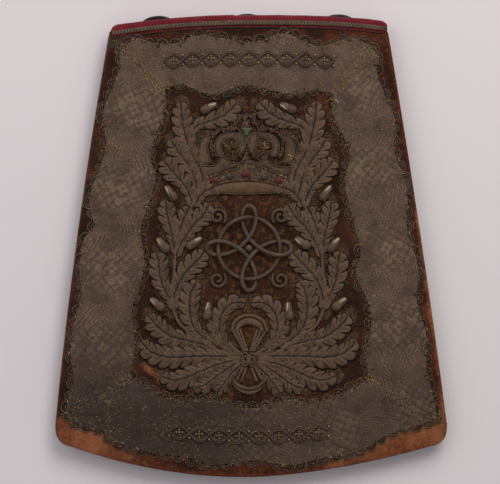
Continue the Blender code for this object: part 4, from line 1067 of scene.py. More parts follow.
def lace():
    """Four strips between their scalloped edges, puckered towards them, with the woven figures raised."""
    for which, (side, outer, inner, cols, rows) in enumerate(LACE_STRIPS):
        one = evenly(smooth(outer, 8), cols)
        two = evenly(smooth(inner, 8), cols)
        share = np.linspace(0, 1, rows)[:, None, None]
        widths = np.linalg.norm(two - one, axis=1)
        drawn = (LACE_DRAWN_IN / widths)[None, :, None]
        inwards = drawn + share * (1 - 2 * drawn)
        grid = one[None] * (1 - inwards) + two[None] * inwards
        middle = (one + two) / 2
        steps = np.concatenate(([0.0], np.cumsum(np.hypot(*np.diff(middle, axis=0).T))))
        way = directions(middle)
        along = steps[None, :] + np.einsum("rcx,cx->rc", grid - middle[None], way)
        across = np.einsum("rcx,cx->rc", grid - middle[None], square_to(way))
        raised, sunk = lace_figures(along, across, which)
        near = np.abs(share[..., 0] * 2 - 1)
        folds = np.sin(2 * pi * along / 21.0 + 1.3 * which + 0.6 * rough_at(grid, 30.0, 3.0))
        swell = 0.3 * folds * near**2 + 0.22 * rough_at(grid, 11.0, 1.0) + 0.16 * rough_at(grid, 4.0, 2.0)
        z = WORK_Z + LACE + flap_forms(grid) + swell + 0.35 * raised - 0.15 * sunk
        ends = np.minimum(steps, steps[-1] - steps)
        bright = np.exp(-(ends[None, :] / 5.0)) * 1.2 + np.exp(-(1 - near) * widths[None, :] / 6.0) * 0.8
        x, y = grid[..., 0], grid[..., 1]
        # Painted shade: the dark mark darkens the lace towards the bottom, most on the left.
        dark = np.clip((-60 - y) / 70, 0, 1) * np.clip((60 - x) / 90, 0.45, 1)
        face = high(grid, z)
        back = high(grid, WORK_Z + flap_forms(grid))
        work = Work()
        marks = {"raised": raised, "sunk": sunk, "bright": bright, "dark": dark}
        work.plate(face, back, np.dstack((along, across)), (), 0, marks)
        name = f"lace_{side}_strip"
        piece = made_piece(name, work, [LACE_LOOK], [f"lace_{side}"])
        float(area_of(grid)) * 1.01 * MM * MM


SCALLOP = 9.7
SCALLOP_REACH = 5.0
SCALLOP_HALF = 4.5


# Threads of a scallop: share of its size, turn of its start, slot (None where it is drawn by lot)
SCALLOP_THREADS = ((1.0, -106, 1), (0.82, -102, 0), (0.66, -98, None), (0.4, -92, 1))
SCALLOP_WANDER = 0.2


def edging():
    """Looped gimp round both edges of the lace: four threads to a scallop, and coils between two."""
    for name, inner, way in (("outer", False, 1), ("inner", True, -1)):
        loop = lace_loop(inner)
        loop.append(loop[0])
        count = int(length_of(loop) / SCALLOP)
        line = evenly(loop, count + 1)[:-1]
        work = Work()
        chance = Random(5 if inner else 3)
        for (x, y), (ax, ay) in zip(line, directions(line, True)):
            out = np.array((ay, -ax)) * way
            tangent = np.array((ax, ay))
            size = 1 + chance.uniform(-0.2, 0.16)
            tip = chance.uniform(-0.4, 0.4)
            middle = np.array((x, y)) - out * (SCALLOP_REACH - 1.4 + chance.uniform(-0.6, 0.6))
            drawn = chance.choice((0, 1))
            for share, start, slot in SCALLOP_THREADS:
                slot = drawn if slot is None else slot
                turns = np.radians(np.linspace(start, -start, 11))
                lean = turns + tip + chance.uniform(-0.12, 0.12)
                offsets = np.cos(lean)[:, None] * out * SCALLOP_REACH
                offsets = offsets + np.sin(lean)[:, None] * tangent * SCALLOP_HALF
                wander = [(chance.gauss(0, SCALLOP_WANDER), chance.gauss(0, SCALLOP_WANDER)) for _turn in turns]
                path = middle + offsets * share * size + np.array(wander)
                path[:, 0] = np.clip(path[:, 0], side_x(y, False) + 0.6, side_x(y, True) - 0.6)
                z = WORK_Z + 0.5 + 0.9 * np.clip(0.55 - np.cos(turns), 0, 1) + flap_form(x, y)
                work.cord(np.column_stack((path, z)), 0.3 + 0.08 * (slot == 1), 0.4, 4, slot=slot)
            joint = np.array((x, y)) + tangent * SCALLOP / 2 - out * (SCALLOP_REACH - 1.6)
            knots = range(chance.randrange(3))
            spots = [joint + np.array((chance.gauss(0, 0.9), chance.gauss(0, 0.9))) for _knot in knots]
            purl(work, spots, 0.3, 1.1, chance, 2)
        embroidered(f"scalloped_edging_{name}", work, [EDGE_LOOK, EDGE_PALE, GOLD_LOOK], f"edging_{name}")


# Where gold threads lie thick: line, how many, and how far they stray
GOLD_SEAMS = (
    (px((118, 43), (165, 90)), 80, 1.3),
    (px((375, 48), (333, 92)), 80, 1.3),
    (px((441, 419), (395, 400), (368, 375)), 60, 2.0),
    (px((60, 415), (130, 378)), 20, 2.6),
    (px((110, 395), (110, 440)), 34, 2.2),
    (px((160, 415), (240, 432), (330, 425)), 60, 7.0),
    (px((168, 60), (335, 62)), 36, 8.0),
)
GOLD_LOOSE = 520


def gold_threads():
    """Loose bright threads, thick along the mitres and edges of the lace."""
    chance = Random(11)
    places = []
    for line, count, spread in GOLD_SEAMS:
        path = evenly(line, count)
        way = directions(path)
        for (x, y), (ax, ay) in zip(path, way):
            places.append((x + chance.gauss(0, spread), y + chance.gauss(0, spread), np.arctan2(ay, ax)))
    for inner in (False, True):
        loop = lace_loop(inner)
        path = evenly(loop, 190)
        way = directions(path, True)
        sign = -1 if inner else 1
        for (x, y), (ax, ay) in zip(path, way):
            if chance.random() < 0.75:
                back = chance.uniform(0.6, 3.6) * sign
                places.append((x - ay * back, y + ax * back, np.arctan2(ay, ax)))
    for _index in range(GOLD_LOOSE):
        strip = LACE_STRIPS[chance.randrange(4)]
        outer, inner_edge = evenly(strip[1], 60), evenly(strip[2], 60)
        spot, share = chance.randrange(60), chance.uniform(0.1, 0.9)
        x, y = outer[spot] * share + inner_edge[spot] * (1 - share)
        places.append((x, y, chance.uniform(0, pi)))
    work = Work()
    for x, y, turn in places:
        turn += chance.gauss(0, 0.6)
        long, bend = chance.uniform(1.2, 3.2), chance.uniform(-0.5, 0.5)
        way = np.array((cos(turn), sin(turn)))
        side = np.array((-way[1], way[0]))
        line = [np.array((x, y)) + way * long * t + side * bend * long * (1 - 4 * t * t) for t in (-0.5, 0.0, 0.5)]
        z = WORK_Z + LACE + 0.42 + flap_form(x, y)
        work.cord([(*p, z + lift) for p, lift in zip(line, (-0.1, 0.25, -0.1))], 0.17, 0.16, 3)
    made_piece("gold_threads", work, [GOLD_LOOK])


# Oak branches


def leaf(work, half, midrib, level, phase):
    """A padded oak leaf in laid thread, with a groove down its midrib and clefts between its lobes."""
    rows, cols = LEAF_GRID
    line = evenly(smooth(midrib, 8), rows)
    long = length_of(line)
    lobes = max(3, round(long * LOBED / LOBE))
    way = directions(line)
    across = square_to(way)
    t = np.linspace(0, 1, rows)[:, None]
    s = np.linspace(-1, 1, cols)[None, :]
    blade = np.clip(t / LOBED, 0, 1)
    fall = np.clip((t - 0.36) / 0.64, 0, 1)
    shape = np.sin(pi / 2 * np.clip(t / 0.36, 0, 1)) ** 0.55 * (1 - 0.5 * fall * fall * (3 - 2 * fall))
    turn = (lobes * blade + 0.42 + 0.15 * np.sign(s) + phase) % 1.0
    cleft = np.exp(-(((turn - 0.5) / 0.085) ** 2)) * np.clip(t / 0.06, 0, 1)
    width = half * LEAF_SWELL * shape * (1 - 0.1 * cleft - 0.2 * (2 * np.abs(0.5 - (turn + 0.5) % 1.0)) ** 2.2)
    out = np.abs(s) * width
    places = line[:, None] + across[:, None] * (s * width)[..., None] - way[:, None] * (0.85 * out)[..., None]
    middle = np.exp(-((s * width / 0.5) ** 2))
    gap = cleft * np.clip((np.abs(s) - 0.3) / 0.3, 0, 1) * np.clip((0.92 - t) / 0.1, 0, 1)
    rim = np.clip((np.abs(s) - 0.78) / 0.2, 0, 1)
    beside = np.minimum(turn, 1 - turn)
    vein = 0.66 * np.exp(-((beside / 0.085) ** 2)) * np.clip((0.78 - np.abs(s)) / 0.2, 0, 1)
    vein *= np.clip(t / 0.1, 0, 1)
    # Painted shade: colour darkened along the midrib, in the clefts, along the veins and round the rim.
    groove = np.clip(middle + gap + 0.95 * rim + vein, 0, 1)
    dome = np.clip(1 - np.abs(s) ** 3.6, 0, 1) ** 0.55
    pad = (0.5 + 0.5 * np.minimum(1, width / half)) * dome * LEAF_HIGH
    z = WORK_Z + level + pad * (1 - 0.45 * middle - 0.5 * gap - 0.15 * vein) + 0.12
    form = flap_forms(places)
    face = high(places, z + form)
    back = high(places, WORK_Z + 0.02 + form)
    pattern = np.dstack((np.broadcast_to(t * long, (rows, cols)), s * width))
    work.plate(face, back, pattern, (), 0, {"groove": groove})


def on_branch(line, side):
    """A line of the left branch, or its mirror on the right one."""
    return [(2 * BRANCH_MIRROR - x, y) for x, y in line] if side == "right" else line


def branch_line(midrib, side):
    """A leaf's midrib on its branch."""
    return on_branch(px(*midrib), side)


def branches():
    """Both oak branches: their leaves, small coils between them, and the stem."""
    for side in ("left", "right"):
        chance = Random(2)
        work = Work()
        for index, (_name, half, midrib) in enumerate(LEAVES):
            turned = branch_line(midrib, side)
            leaf(work, half * PX, turned, 0.06 * (index % 5), chance.uniform(-0.12, 0.12))
            for x, y in evenly(smooth(turned, 4), COILS):
                spot = (x + chance.gauss(0, COIL_SPREAD), y + chance.gauss(0, COIL_SPREAD))
                if np.hypot(spot[0] - KNOT_PLACE[0], spot[1] - KNOT_PLACE[1]) > KNOT_REACH + 3:
                    purl(work, [spot], 0.4, chance.uniform(-0.3, 0.2), chance, chance.choice((1, 2, 2, 3)))
        line = evenly(smooth(on_branch(STEM, side), 8), 90)
        z = WORK_Z + 0.9 + flap_forms(line)
        work.cord(np.column_stack((line, z)), 1.35, 0.85, 8)
        looks = [LEAF_LOOK, SATIN_LOOK, WARM_LOOK, CORD_LOOK]
        embroidered(f"oak_branch_{side}_work", work, looks, f"oak_branch_{side}")


def acorns():
    """Padded acorns, each a thread cup and a nut with a painted highlight."""
    for side in ("left", "right"):
        for index, ends in enumerate(ACORNS):
            tip, base = (np.array(place) for place in on_branch(ends, side))
            along = (tip - base) / np.linalg.norm(tip - base)
            across = np.array((along[1], -along[0]))
            start = tip - along * ACORN_LENGTH
            rise = ACORN_Z + flap_form(*((tip + start) / 2)) + 0.05
            work = Work()
            for slot, profile in ((1, ACORN_CUP), (0, ACORN_NUT)):
                rings = []
                for share, size in profile:
                    turns = turns_of(16) - pi / 2
                    spot = start + along * ACORN_LENGTH * share
                    ring = spot + across * (ACORN_HALF * size * np.cos(turns))[:, None]
                    rings.append(np.column_stack((ring, rise + ACORN_HIGH * size * 0.95 * np.sin(turns))))
                work.loft(rings, slot=slot)
            name = f"acorn_{side}_{index + 1}"
            made_piece(f"{name}_work", work, [NUT_LOOK, CUP_LOOK], [name])


def laid(x, y, level):
    """A line at a level over the face's own form, from its places across and up."""
    line = np.column_stack((x, y, np.zeros_like(x)))
    line[:, 2] = level + flap_forms(line)
    return line


def strands(work, line, offsets, half, high_, level, sides=7, slot=0):
    """Cords side by side along a line."""
    path = evenly(smooth(line, 8), 70)
    way = directions(path)
    square = square_to(way)
    for offset in offsets:
        places = path + square * offset
        z = WORK_Z + level + high_ + flap_forms(places)
        work.cord(np.column_stack((places, z)), half, high_, sides, slot=slot)


def bow():
    """The ribbon bow: an arched band over two legs, a knot, two short legs and a crescent below."""
    work = Work()
    rims = [
        px((230, 332), (232.5, 321), (240, 315), (249, 313), (258, 315), (265.5, 321), (269.5, 332)),
        px((233.5, 332), (236.5, 323), (242.5, 318.6), (249, 317.2), (256, 318.8), (262, 323.5), (265.5, 332)),
        px((239, 330), (241, 327.4), (245, 325.6), (249, 325), (253.5, 325.8), (257.5, 328), (260, 331)),
    ]
    band(work, rims[0], rims[1], 1.9, 0.3)
    band(work, rims[1], rims[2], 1.8, 0.2)
    legs = (
        ((233, 330), (244, 351)), ((236.6, 329.4), (245.6, 351)), ((240, 328.6), (247, 351)),
        ((257.4, 329), (250.4, 351)), ((261, 330), (252, 351)), ((265, 331.4), (253.8, 351)),
        ((243.6, 366), (236.6, 380)), ((246.4, 367), (241.4, 381.4)),
        ((254.2, 366), (262, 379)), ((251.4, 367), (256.8, 381)),
    )
    for ends in legs:
        strands(work, px(*ends), (0.0,), 1.25, 0.95, 0.1, 8)
    rims = [
        px((233, 376), (238.5, 383), (249, 386.6), (259.5, 383), (265, 376)),
        px((231.4, 379.4), (237.4, 387), (249, 390.4), (260.6, 387), (266.6, 379.4)),
        px((232.4, 384), (238.4, 390.6), (249, 394.6), (259.6, 390.6), (265.6, 384)),
    ]
    band(work, rims[0], rims[1], 1.8, 0.3)
    band(work, rims[1], rims[2], 1.7, 0.1)
    for middle in ((245.4, 359), (252.2, 359.4)):
        (x, y), turns = px(middle)[0], np.linspace(0, 2 * pi, 25)[:-1]
        for size in (1.0, 0.5):
            oval = [(x + 2.5 * size * cos(turn), y + 5.0 * size * sin(turn)) for turn in turns]
            line = [(bx, by, WORK_Z + 2.3 - 0.3 * size + flap_form(bx, by)) for bx, by in oval]
            work.cord(line, 0.9, 1.0, 6, True)
    embroidered("ribbon_bow_work", work, [LEAF_LOOK], "ribbon_bow")


# Crown


CROWN_MIDDLE = 247.0


def both_sides(points):
    """A line of the crown's left half, and its mirror."""
    return (px(*points), px(*[(2 * CROWN_MIDDLE - x, y) for x, y in points]))


BAND_ROWS = 9


def band(work, upper, lower, thick, level=0.0, slot=0, cols=60):
    """A padded satin band between two lines."""
    rows = BAND_ROWS
    one, two = evenly(smooth(upper, 6), cols), evenly(smooth(lower, 6), cols)
    share = np.linspace(0, 1, rows)[:, None, None]
    grid = one[None] * (1 - share) + two[None] * share
    dome = (1 - np.abs(share[..., 0] * 2 - 1) ** 3) ** 0.6
    ends = np.clip(np.minimum(np.arange(cols), np.arange(cols)[::-1]) / 2.0, 0, 1)[None, :]
    z = WORK_Z + level + 0.25 + (thick - 0.25) * dome * (0.35 + 0.65 * ends)
    form = flap_forms(grid)
    along = np.linspace(0, length_of(one), cols)
    wide = np.linalg.norm(two - one, axis=1)
    pattern = np.dstack((np.broadcast_to(along, (rows, cols)), share[..., 0] * wide[None, :]))
    work.plate(high(grid, z + form), high(grid, WORK_Z + 0.02 + form), pattern, (), slot)


def beads(work, line, size, count, level, slot=0):
    """A string of round beads, each a small turned form."""
    path = evenly(smooth(line, 8), count)
    profile = ((-1.0, 0.12), (-0.72, 0.7), (0.0, 1.0), (0.72, 0.7), (1.0, 0.12))
    turns = turns_of(6)
    for x, y in path:
        z = WORK_Z + level + size + flap_form(x, y)
        rings = [
            np.column_stack(
                (x + size * wide * np.cos(turns), y + size * wide * np.sin(turns), np.full(6, z + size * up))
            )
            for up, wide in profile
        ]
        work.loft(rings, slot=slot)


def purl(work, spots, size, level, chance, slot=0):
    """Short coils of cut gold purl, laid at all angles."""
    for x, y in spots:
        turn, long = chance.uniform(0, 2 * pi), chance.uniform(1.4, 2.6)
        way = np.array((cos(turn), sin(turn)))
        ends = [np.array((x, y)) + way * long * share for share in (-0.5, 0.0, 0.5)]
        z = WORK_Z + level + size + flap_form(x, y)
        work.cord([(*p, z + lift) for p, lift in zip(ends, (-0.25, 0.2, -0.25))], size, size, 5, slot=slot)


def spots_in(outline, pitch, chance):
    """Places scattered inside an outline."""
    xs, ys = [p[0] for p in outline], [p[1] for p in outline]
    made = []
    for x in np.arange(min(xs), max(xs), pitch):
        for y in np.arange(min(ys), max(ys), pitch):
            spot = (x + chance.uniform(-0.5, 0.5) * pitch, y + chance.uniform(-0.5, 0.5) * pitch)
            inside = False
            for (ax, ay), (bx, by) in zip(outline, outline[1:] + outline[:1]):
                if (ay > spot[1]) != (by > spot[1]) and spot[0] < ax + (spot[1] - ay) * (bx - ax) / (by - ay):
                    inside = not inside
            if inside:
                made.append(spot)
    return made


def scattered(work, line, spread, count, size, level, chance, slots):
    """Short coils laid at all angles along a line."""
    for x, y in evenly(smooth(line, 6), count):
        spot = (x + chance.gauss(0, spread), y + chance.gauss(0, spread))
        thick, lift = size * chance.uniform(0.8, 1.2), level + chance.uniform(0, 0.5)
        purl(work, [spot], thick, lift, chance, chance.choice(slots))


def circlet(chance):
    """The circlet: a thread foot, a checked band for the stones and a cusped edge."""
    base = Work()
    arch = px((210.5, 187), (222, 183.6), (234, 181.6), (247, 181), (260, 181.6), (272, 184), (284, 187))
    foot = px((216, 192.6), (230, 194), (247, 194.3), (265, 193.6), (279, 192))
    band(base, arch, foot, 1.8, 0.0, 5)
    strands(base, arch, (0.0, -0.9), 0.45, 0.5, 0.7, 6, 5)
    # Dark cords down both ends of the circlet: painted shade in the gap beside the leaves.
    for side in both_sides(((200.6, 166), (205, 176), (210.6, 188.6))):
        strands(base, side, (0.0,), 0.6, 0.6, 0.8, 6, 6)
    edge = px(
        (206.5, 178.6), (223, 173), (236, 168.4), (244, 162.4), (252.8, 162.4), (259, 166), (272.7, 171.5),
        (287, 178),
    )
    stones_foot = px((209, 186), (222, 182.6), (234, 180.6), (247, 180), (260, 180.6), (272, 183), (285, 186))
    band(base, edge, stones_foot, 1.3, 0.0, 1)
    cusps = px(
        (200, 165.6), (207, 165.8), (214.5, 165.4), (219.3, 161), (223.3, 156), (226.5, 159), (232.8, 162.8),
        (240.8, 162), (245.8, 154.6), (250.4, 161), (255.2, 163.4), (261.6, 161.4), (266, 158.6), (270, 162.5),
        (275.1, 166), (285.5, 167.4), (292, 166.6),
    )
    under = px(
        (206, 178), (222, 172.6), (235, 168), (243.6, 161.8), (253, 161.8), (260, 166), (272, 171), (287, 177.6),
    )
    band(base, cusps, under, 1.4, 0.0, 0, 90)
    for line, count in ((edge, 84), (stones_foot, 66)):
        scattered(base, line, 0.3, count, 0.34, 1.2, chance, (2, 4, 4, 3, 5))
    strands(base, cusps, (0.0,), 0.5, 0.5, 1.0, 6, 3)
    strands(base, foot, (0.0,), 0.5, 0.5, 0.4, 6, 3)
    purl(base, spots_in(edge + stones_foot[::-1], 1.5, chance), 0.36, 0.9, chance, 4)
    purl(base, spots_in(edge + stones_foot[::-1], 2.0, chance), 0.36, 1.1, chance, 6)
    looks = [SATIN_LOOK, PURL_LOOK, GOLD_LOOK, CORD_LOOK, PURL_LOOK, WARM_LOOK, BEAD_LOOK]
    embroidered("crown_circlet", base, looks, "crown_band")


# Left half of the crown's cap, in photo places: each petal's two edges, its two coil strings, and the openings
# between with the spacing and looks of their coils
PETALS = (
    (
        ((200, 163), (198.5, 156), (198, 149), (200, 142), (205, 138), (211, 137)),
        ((213.5, 163.5), (210, 160), (208.4, 152), (208, 146), (209, 141), (211.5, 138.4)),
    ),
    (
        ((222.5, 156.5), (217, 155.6), (214.8, 150), (215, 143), (219, 137), (226, 133.8), (236, 133)),
        ((224.4, 154.6), (222.6, 152), (221, 147), (222.4, 142.5), (226, 139.6), (231, 138.2), (236, 137.6)),
    ),
    (
        ((236, 133), (236.8, 142), (237.4, 150), (241, 157.5)),
        ((241, 131.4), (243.8, 136), (245.4, 141.5), (245.6, 147)),
    ),
)
OUTER_STRING = (
    (196.6, 163), (195, 155.6), (194.8, 147), (199.2, 139), (206, 135), (214, 132), (224, 130), (236, 129),
)
INNER_STRING = ((214.4, 157), (211.8, 150), (211.3, 143), (212.4, 136.6), (216, 133.4))
OPENINGS = (
    (((220, 141), (226, 139.6), (236, 138.6), (237, 148), (230, 150), (224, 148)), 1.2, (3, 6, 6, 4)),
    (((224, 150), (237, 150), (240, 160), (232, 162), (227, 158)), 1.3, (3, 1, 6, 2)),
    (((200, 156), (208, 156), (213, 164), (201, 165)), 1.6, (3, 3, 4, 6)),
    (((241, 146), (247, 144), (247, 154), (241.6, 153)), 1.3, (3, 2, 3, 4)),
)


def arches(chance):
    """The cap: satin petals edged with cord, strings of coils over them and coils in the openings."""
    cap = Work()
    for upper, lower in PETALS:
        for one, two in zip(both_sides(upper), both_sides(lower)):
            band(cap, one, two, 1.6)
            strands(cap, two, (0.0,), 0.36, 0.5, 0.9, 6, 1)
            strands(cap, one, (0.0,), 0.36, 0.5, 0.8, 6, 1)
            middle = (evenly(smooth(one, 6), 9) + evenly(smooth(two, 6), 9)) / 2
            strands(cap, [tuple(place) for place in middle], (0.9,), 0.26, 0.35, 1.2, 5, 1)
    for line in both_sides(((238.4, 129.4), (242.6, 134), (246.4, 138.4), (246.9, 144))):
        strands(cap, line, (0.0,), 0.5, 0.55, 1.0, 6, 5)
    for string, *coils in ((OUTER_STRING, 0.8, 104, 0.66, 0.2), (INNER_STRING, 0.6, 44, 0.6, 0.6)):
        for line in both_sides(string):
            scattered(cap, line, *coils, chance, (2, 2, 2, 6))
    for outline, pitch, slots in OPENINGS:
        for side in both_sides(outline):
            for spot in spots_in(list(side), pitch, chance):
                purl(cap, [spot], 0.3, chance.uniform(0.1, 1.0), chance, chance.choice(slots))
    # Painted highlight: a small tuft of bright gold coils on the right-hand petal.
    highlight_tuft = px((289, 155), (293.4, 155), (293.4, 160), (289.6, 160))
    purl(cap, spots_in(highlight_tuft, 1.1, chance), 0.42, 1.6, chance, 4)
    looks = [SATIN_LOOK, EDGE_PALE, BEAD_LOOK, PURL_LOOK, GOLD_LOOK, EDGE_PALE, WARM_LOOK]
    embroidered("crown_arches", cap, looks, "crown_cap")


def orb(chance):
    """The domed orb, and its cross of coils."""
    top = Work()
    x, y = ORB_PLACE
    rings = []
    turns = turns_of(20)
    for size, up in ((1.0, 0.0), (1.04, 0.5), (0.9, 1.1), (0.55, 1.6), (0.15, 1.8)):
        ring = np.column_stack((x + ORB_HALF * size * np.cos(turns), y + ORB_HALF * size * np.sin(turns)))
        rings.append(np.column_stack((ring, np.full(20, WORK_Z + up + flap_form(x, y)))))
    top.loft(rings)
    for line, count in (
        ([(x - 2.4, y - 1.6), (x + 2.4, y + 1.8)], 10),
        ([(x, y + 3.0), (x, CROSS_TOP - 0.4)], 22),
        ([(x - CROSS_HALF, y + 5.6), (x + CROSS_HALF, y + 5.6)], 18),
        ([(x - 2.4, y + 2.0), (x + 2.4, y - 1.4)], 10),
        ([(x - 10, y - 1), (x - 5, y + 3), (x - 6, y + 6)], 22),
        ([(x + 5, y + 6), (x + 6, y + 2), (x + 10, y - 1)], 22),
    ):
        scattered(top, line, 0.9, 2 * count, 0.36, 0.8, chance, (0, 1, 2, 2, 2))
    embroidered("crown_orb_work", top, [PURL_LOOK, CORD_LOOK, BEAD_LOOK], "crown_orb")


def crown():
    """The crown: circlet, arches with their strings, and the orb under its cross."""
    chance = Random(21)
    for part_of_crown in (circlet, arches, orb):
        part_of_crown(chance)


def stones():
    """Cut stones: a drum with its crown drawn in to a small table."""
    for index, (x, y, long, wide, corners, first, colour) in enumerate(CROWN_STONES):
        clear_choice()
        low = WORK_Z + CROWN_HIGH + GAP + flap_form(x, y)
        bpy.ops.mesh.primitive_cylinder_add(
            vertices=corners, radius=MM, depth=0.7 * MM, location=(x * MM, y * MM, (low + 0.35) * MM)
        )
        stone = bpy.context.object
        stone.name = f"cut_stone_{index + 1}"
        bpy.ops.object.transform_apply(location=True, rotation=True, scale=True)
        middle = Vector((x, y, low)) * MM
        bpy.ops.object.mode_set(mode="EDIT")
        bpy.ops.mesh.select_all(action="SELECT")
        bpy.ops.transform.rotate(value=radians(90 - first), orient_axis="Z", center_override=middle)
        bpy.ops.transform.resize(value=(long * 0.94, wide * 0.94, 1.0), center_override=middle)
        bpy.ops.mesh.select_all(action="DESELECT")
        shape = bmesh.from_edit_mesh(stone.data)
        for face in shape.faces:
            face.select = face.normal.z > 0.9
        bmesh.update_edit_mesh(stone.data)
        drawn = min(long, wide) * (0.3 if corners > 3 else 0.2)
        bpy.ops.mesh.inset(thickness=drawn * MM)
        bpy.ops.transform.translate(value=(0, 0, 0.7 * MM))
        bpy.ops.mesh.inset(thickness=drawn * 0.6 * MM)
        bpy.ops.transform.translate(value=(0, 0, 0.25 * MM))
        bpy.ops.object.mode_set(mode="OBJECT")
        chart(stone)
        stone.data.materials.append(RED_LOOK if colour == "red" else GREEN_LOOK if corners > 3 else WEDGE_LOOK)
        settle(stone, [f"crown_stone_{index + 1}"])


def chart(piece):
    """Gives a piece made by hand pattern places in millimetres."""
    mesh = piece.data
    layer = mesh.uv_layers.get("pattern") or mesh.uv_layers.new(name="pattern")
    for old in list(mesh.uv_layers):
        if old.name != "pattern":
            mesh.uv_layers.remove(old)
    layer = mesh.uv_layers["pattern"]
    for face in mesh.polygons:
        flat = max(range(3), key=lambda axis: abs(face.normal[axis]))
        axes = [axis for axis in range(3) if axis != flat]
        for corner in face.loop_indices:
            place = mesh.vertices[mesh.loops[corner].vertex_index].co
            layer.data[corner].uv = (place[axes[0]] / MM, place[axes[1]] / MM)


# Scroll knot and ornament rows


def knot():
    """The endless knot in its ring, with four scrolls and a rosette."""
    middle_x, middle_y = KNOT_PLACE
    size = KNOT_REACH / (1 + KNOT_LOOP)
    t = turns_of(300)
    x = middle_x + size * (np.cos(t) + KNOT_LOOP * np.cos(3 * t))
    y = middle_y + size * (np.sin(t) - KNOT_LOOP * np.sin(3 * t))
    weave = np.clip(3.0 * np.sin(4 * (t - pi / 4)), -1, 1)
    weave = np.convolve(np.concatenate((weave[-6:], weave, weave[:6])), np.ones(13) / 13, "valid")
    line = laid(x, y, WORK_Z + 1.05 + KNOT_WEAVE * (0.5 - 0.5 * weave))
    work = Work()
    work.cord(line, 1.6, 1.05, 12, True)
    embroidered("scroll_knot_work", work, [CORD_LOOK], "scroll_knot")
    t = turns_of(200)
    x, y = middle_x + KNOT_RING * np.cos(t), middle_y + KNOT_RING * np.sin(t)
    weave = np.clip(1.5 * np.sin(4 * t), -1, 1)
    line = laid(x, y, WORK_Z + 1.0 + KNOT_WEAVE * (0.5 + 0.5 * weave))
    work = Work()
    work.cord(line, 1.5, 1.0, 12, True)
    embroidered("knot_ring_work", work, [CORD_LOOK], "knot_ring")
    for index in range(4):
        diagonal = pi / 4 + index * pi / 2
        start = np.array(KNOT_PLACE) + np.array((cos(diagonal), sin(diagonal))) * VOLUTE_REACH
        t = np.linspace(0, 1, 60)
        radius = VOLUTE_START * (1 - 0.78 * t)
        turn = diagonal + pi + 2 * pi * VOLUTE_TURNS * t * (1 if index % 2 else -1)
        line = laid(start[0] + radius * np.cos(turn), start[1] + radius * np.sin(turn), WORK_Z + 1.0)
        work = Work()
        work.cord(line, 1.25, 1.0, 10)
        beads(work, [tuple(line[-1, :2]), tuple(line[-1, :2] + 0.2)], 0.9, 1, 0.6)
        embroidered(f"knot_volute_{index + 1}_work", work, [CORD_LOOK], f"knot_volute_{index + 1}")
    work = Work()
    form = flap_form(*KNOT_PLACE)
    turns = turns_of(24)
    rings = []
    for share, up in ((1.0, 0.0), (1.02, 0.5), (0.8, 1.1), (0.55, 1.2), (0.4, 1.7), (0.1, 1.9)):
        radius = 2.7 * share * (1 + 0.09 * np.cos(8 * turns) * (share > 0.5))
        x, y = middle_x + radius * np.cos(turns), middle_y + radius * np.sin(turns)
        rings.append(np.column_stack((x, y, np.full(24, WORK_Z + form + up))))
    work.loft(rings)
    embroidered("knot_rosette_work", work, [PURL_LOOK], "knot_rosette")


def ornament_rows():
    """Two couched cords that cross and open into lozenges, with a bead in each."""
    for side, (middle_x, middle_y, half, rise, repeats) in (("top", ROW_TOP), ("bottom", ROW_BOTTOM)):
        work = Work()
        t = np.linspace(0, 1, 30 * repeats + 1)
        x = middle_x + half * (2 * t - 1)
        arc = middle_y + rise * (2 * t - 1) ** 2
        wave = np.sin(pi * t * repeats)
        base = WORK_Z + LACE + GAP
        for way in (1, -1):
            for inset in (0.0, 1.5):
                y = arc + way * wave * (ROW_HALF - 1.0 - inset)
                over = 0.45 * (1 + way * np.cos(pi * t * repeats))
                work.cord(laid(x, y, base + 0.7 + over), 0.62, 0.6, 6)

        def bead(share, across, up, size, slot):
            """One bead beside the row's middle line."""
            bx = middle_x + half * (2 * share - 1) + across
            by = middle_y + rise * (2 * share - 1) ** 2 + up
            beads(work, [(bx, by), (bx + 0.1, by)], size, 1, LACE + GAP - 0.1, slot)

        for index in range(repeats):
            bead((index + 0.5) / repeats, 0.0, 0.0, 1.3, 1)
            for turn in range(4):
                bead((index + 0.5) / repeats, 2.2 * cos(pi / 2 * turn), 2.2 * sin(pi / 2 * turn), 0.7, 2)
        for index in range(repeats + 1):
            for way in (1, -1):
                bead(index / repeats, 0.0, way * 3.6, 0.9, 2)
        embroidered(f"ornament_row_{side}_work", work, [CORD_LOOK, PURL_LOOK, GOLD_LOOK], f"ornament_row_{side}")


# Binding and braid


BINDING_LEFT = -109.0
BINDING_RIGHT = 106.0
SEAM_X = -12.6


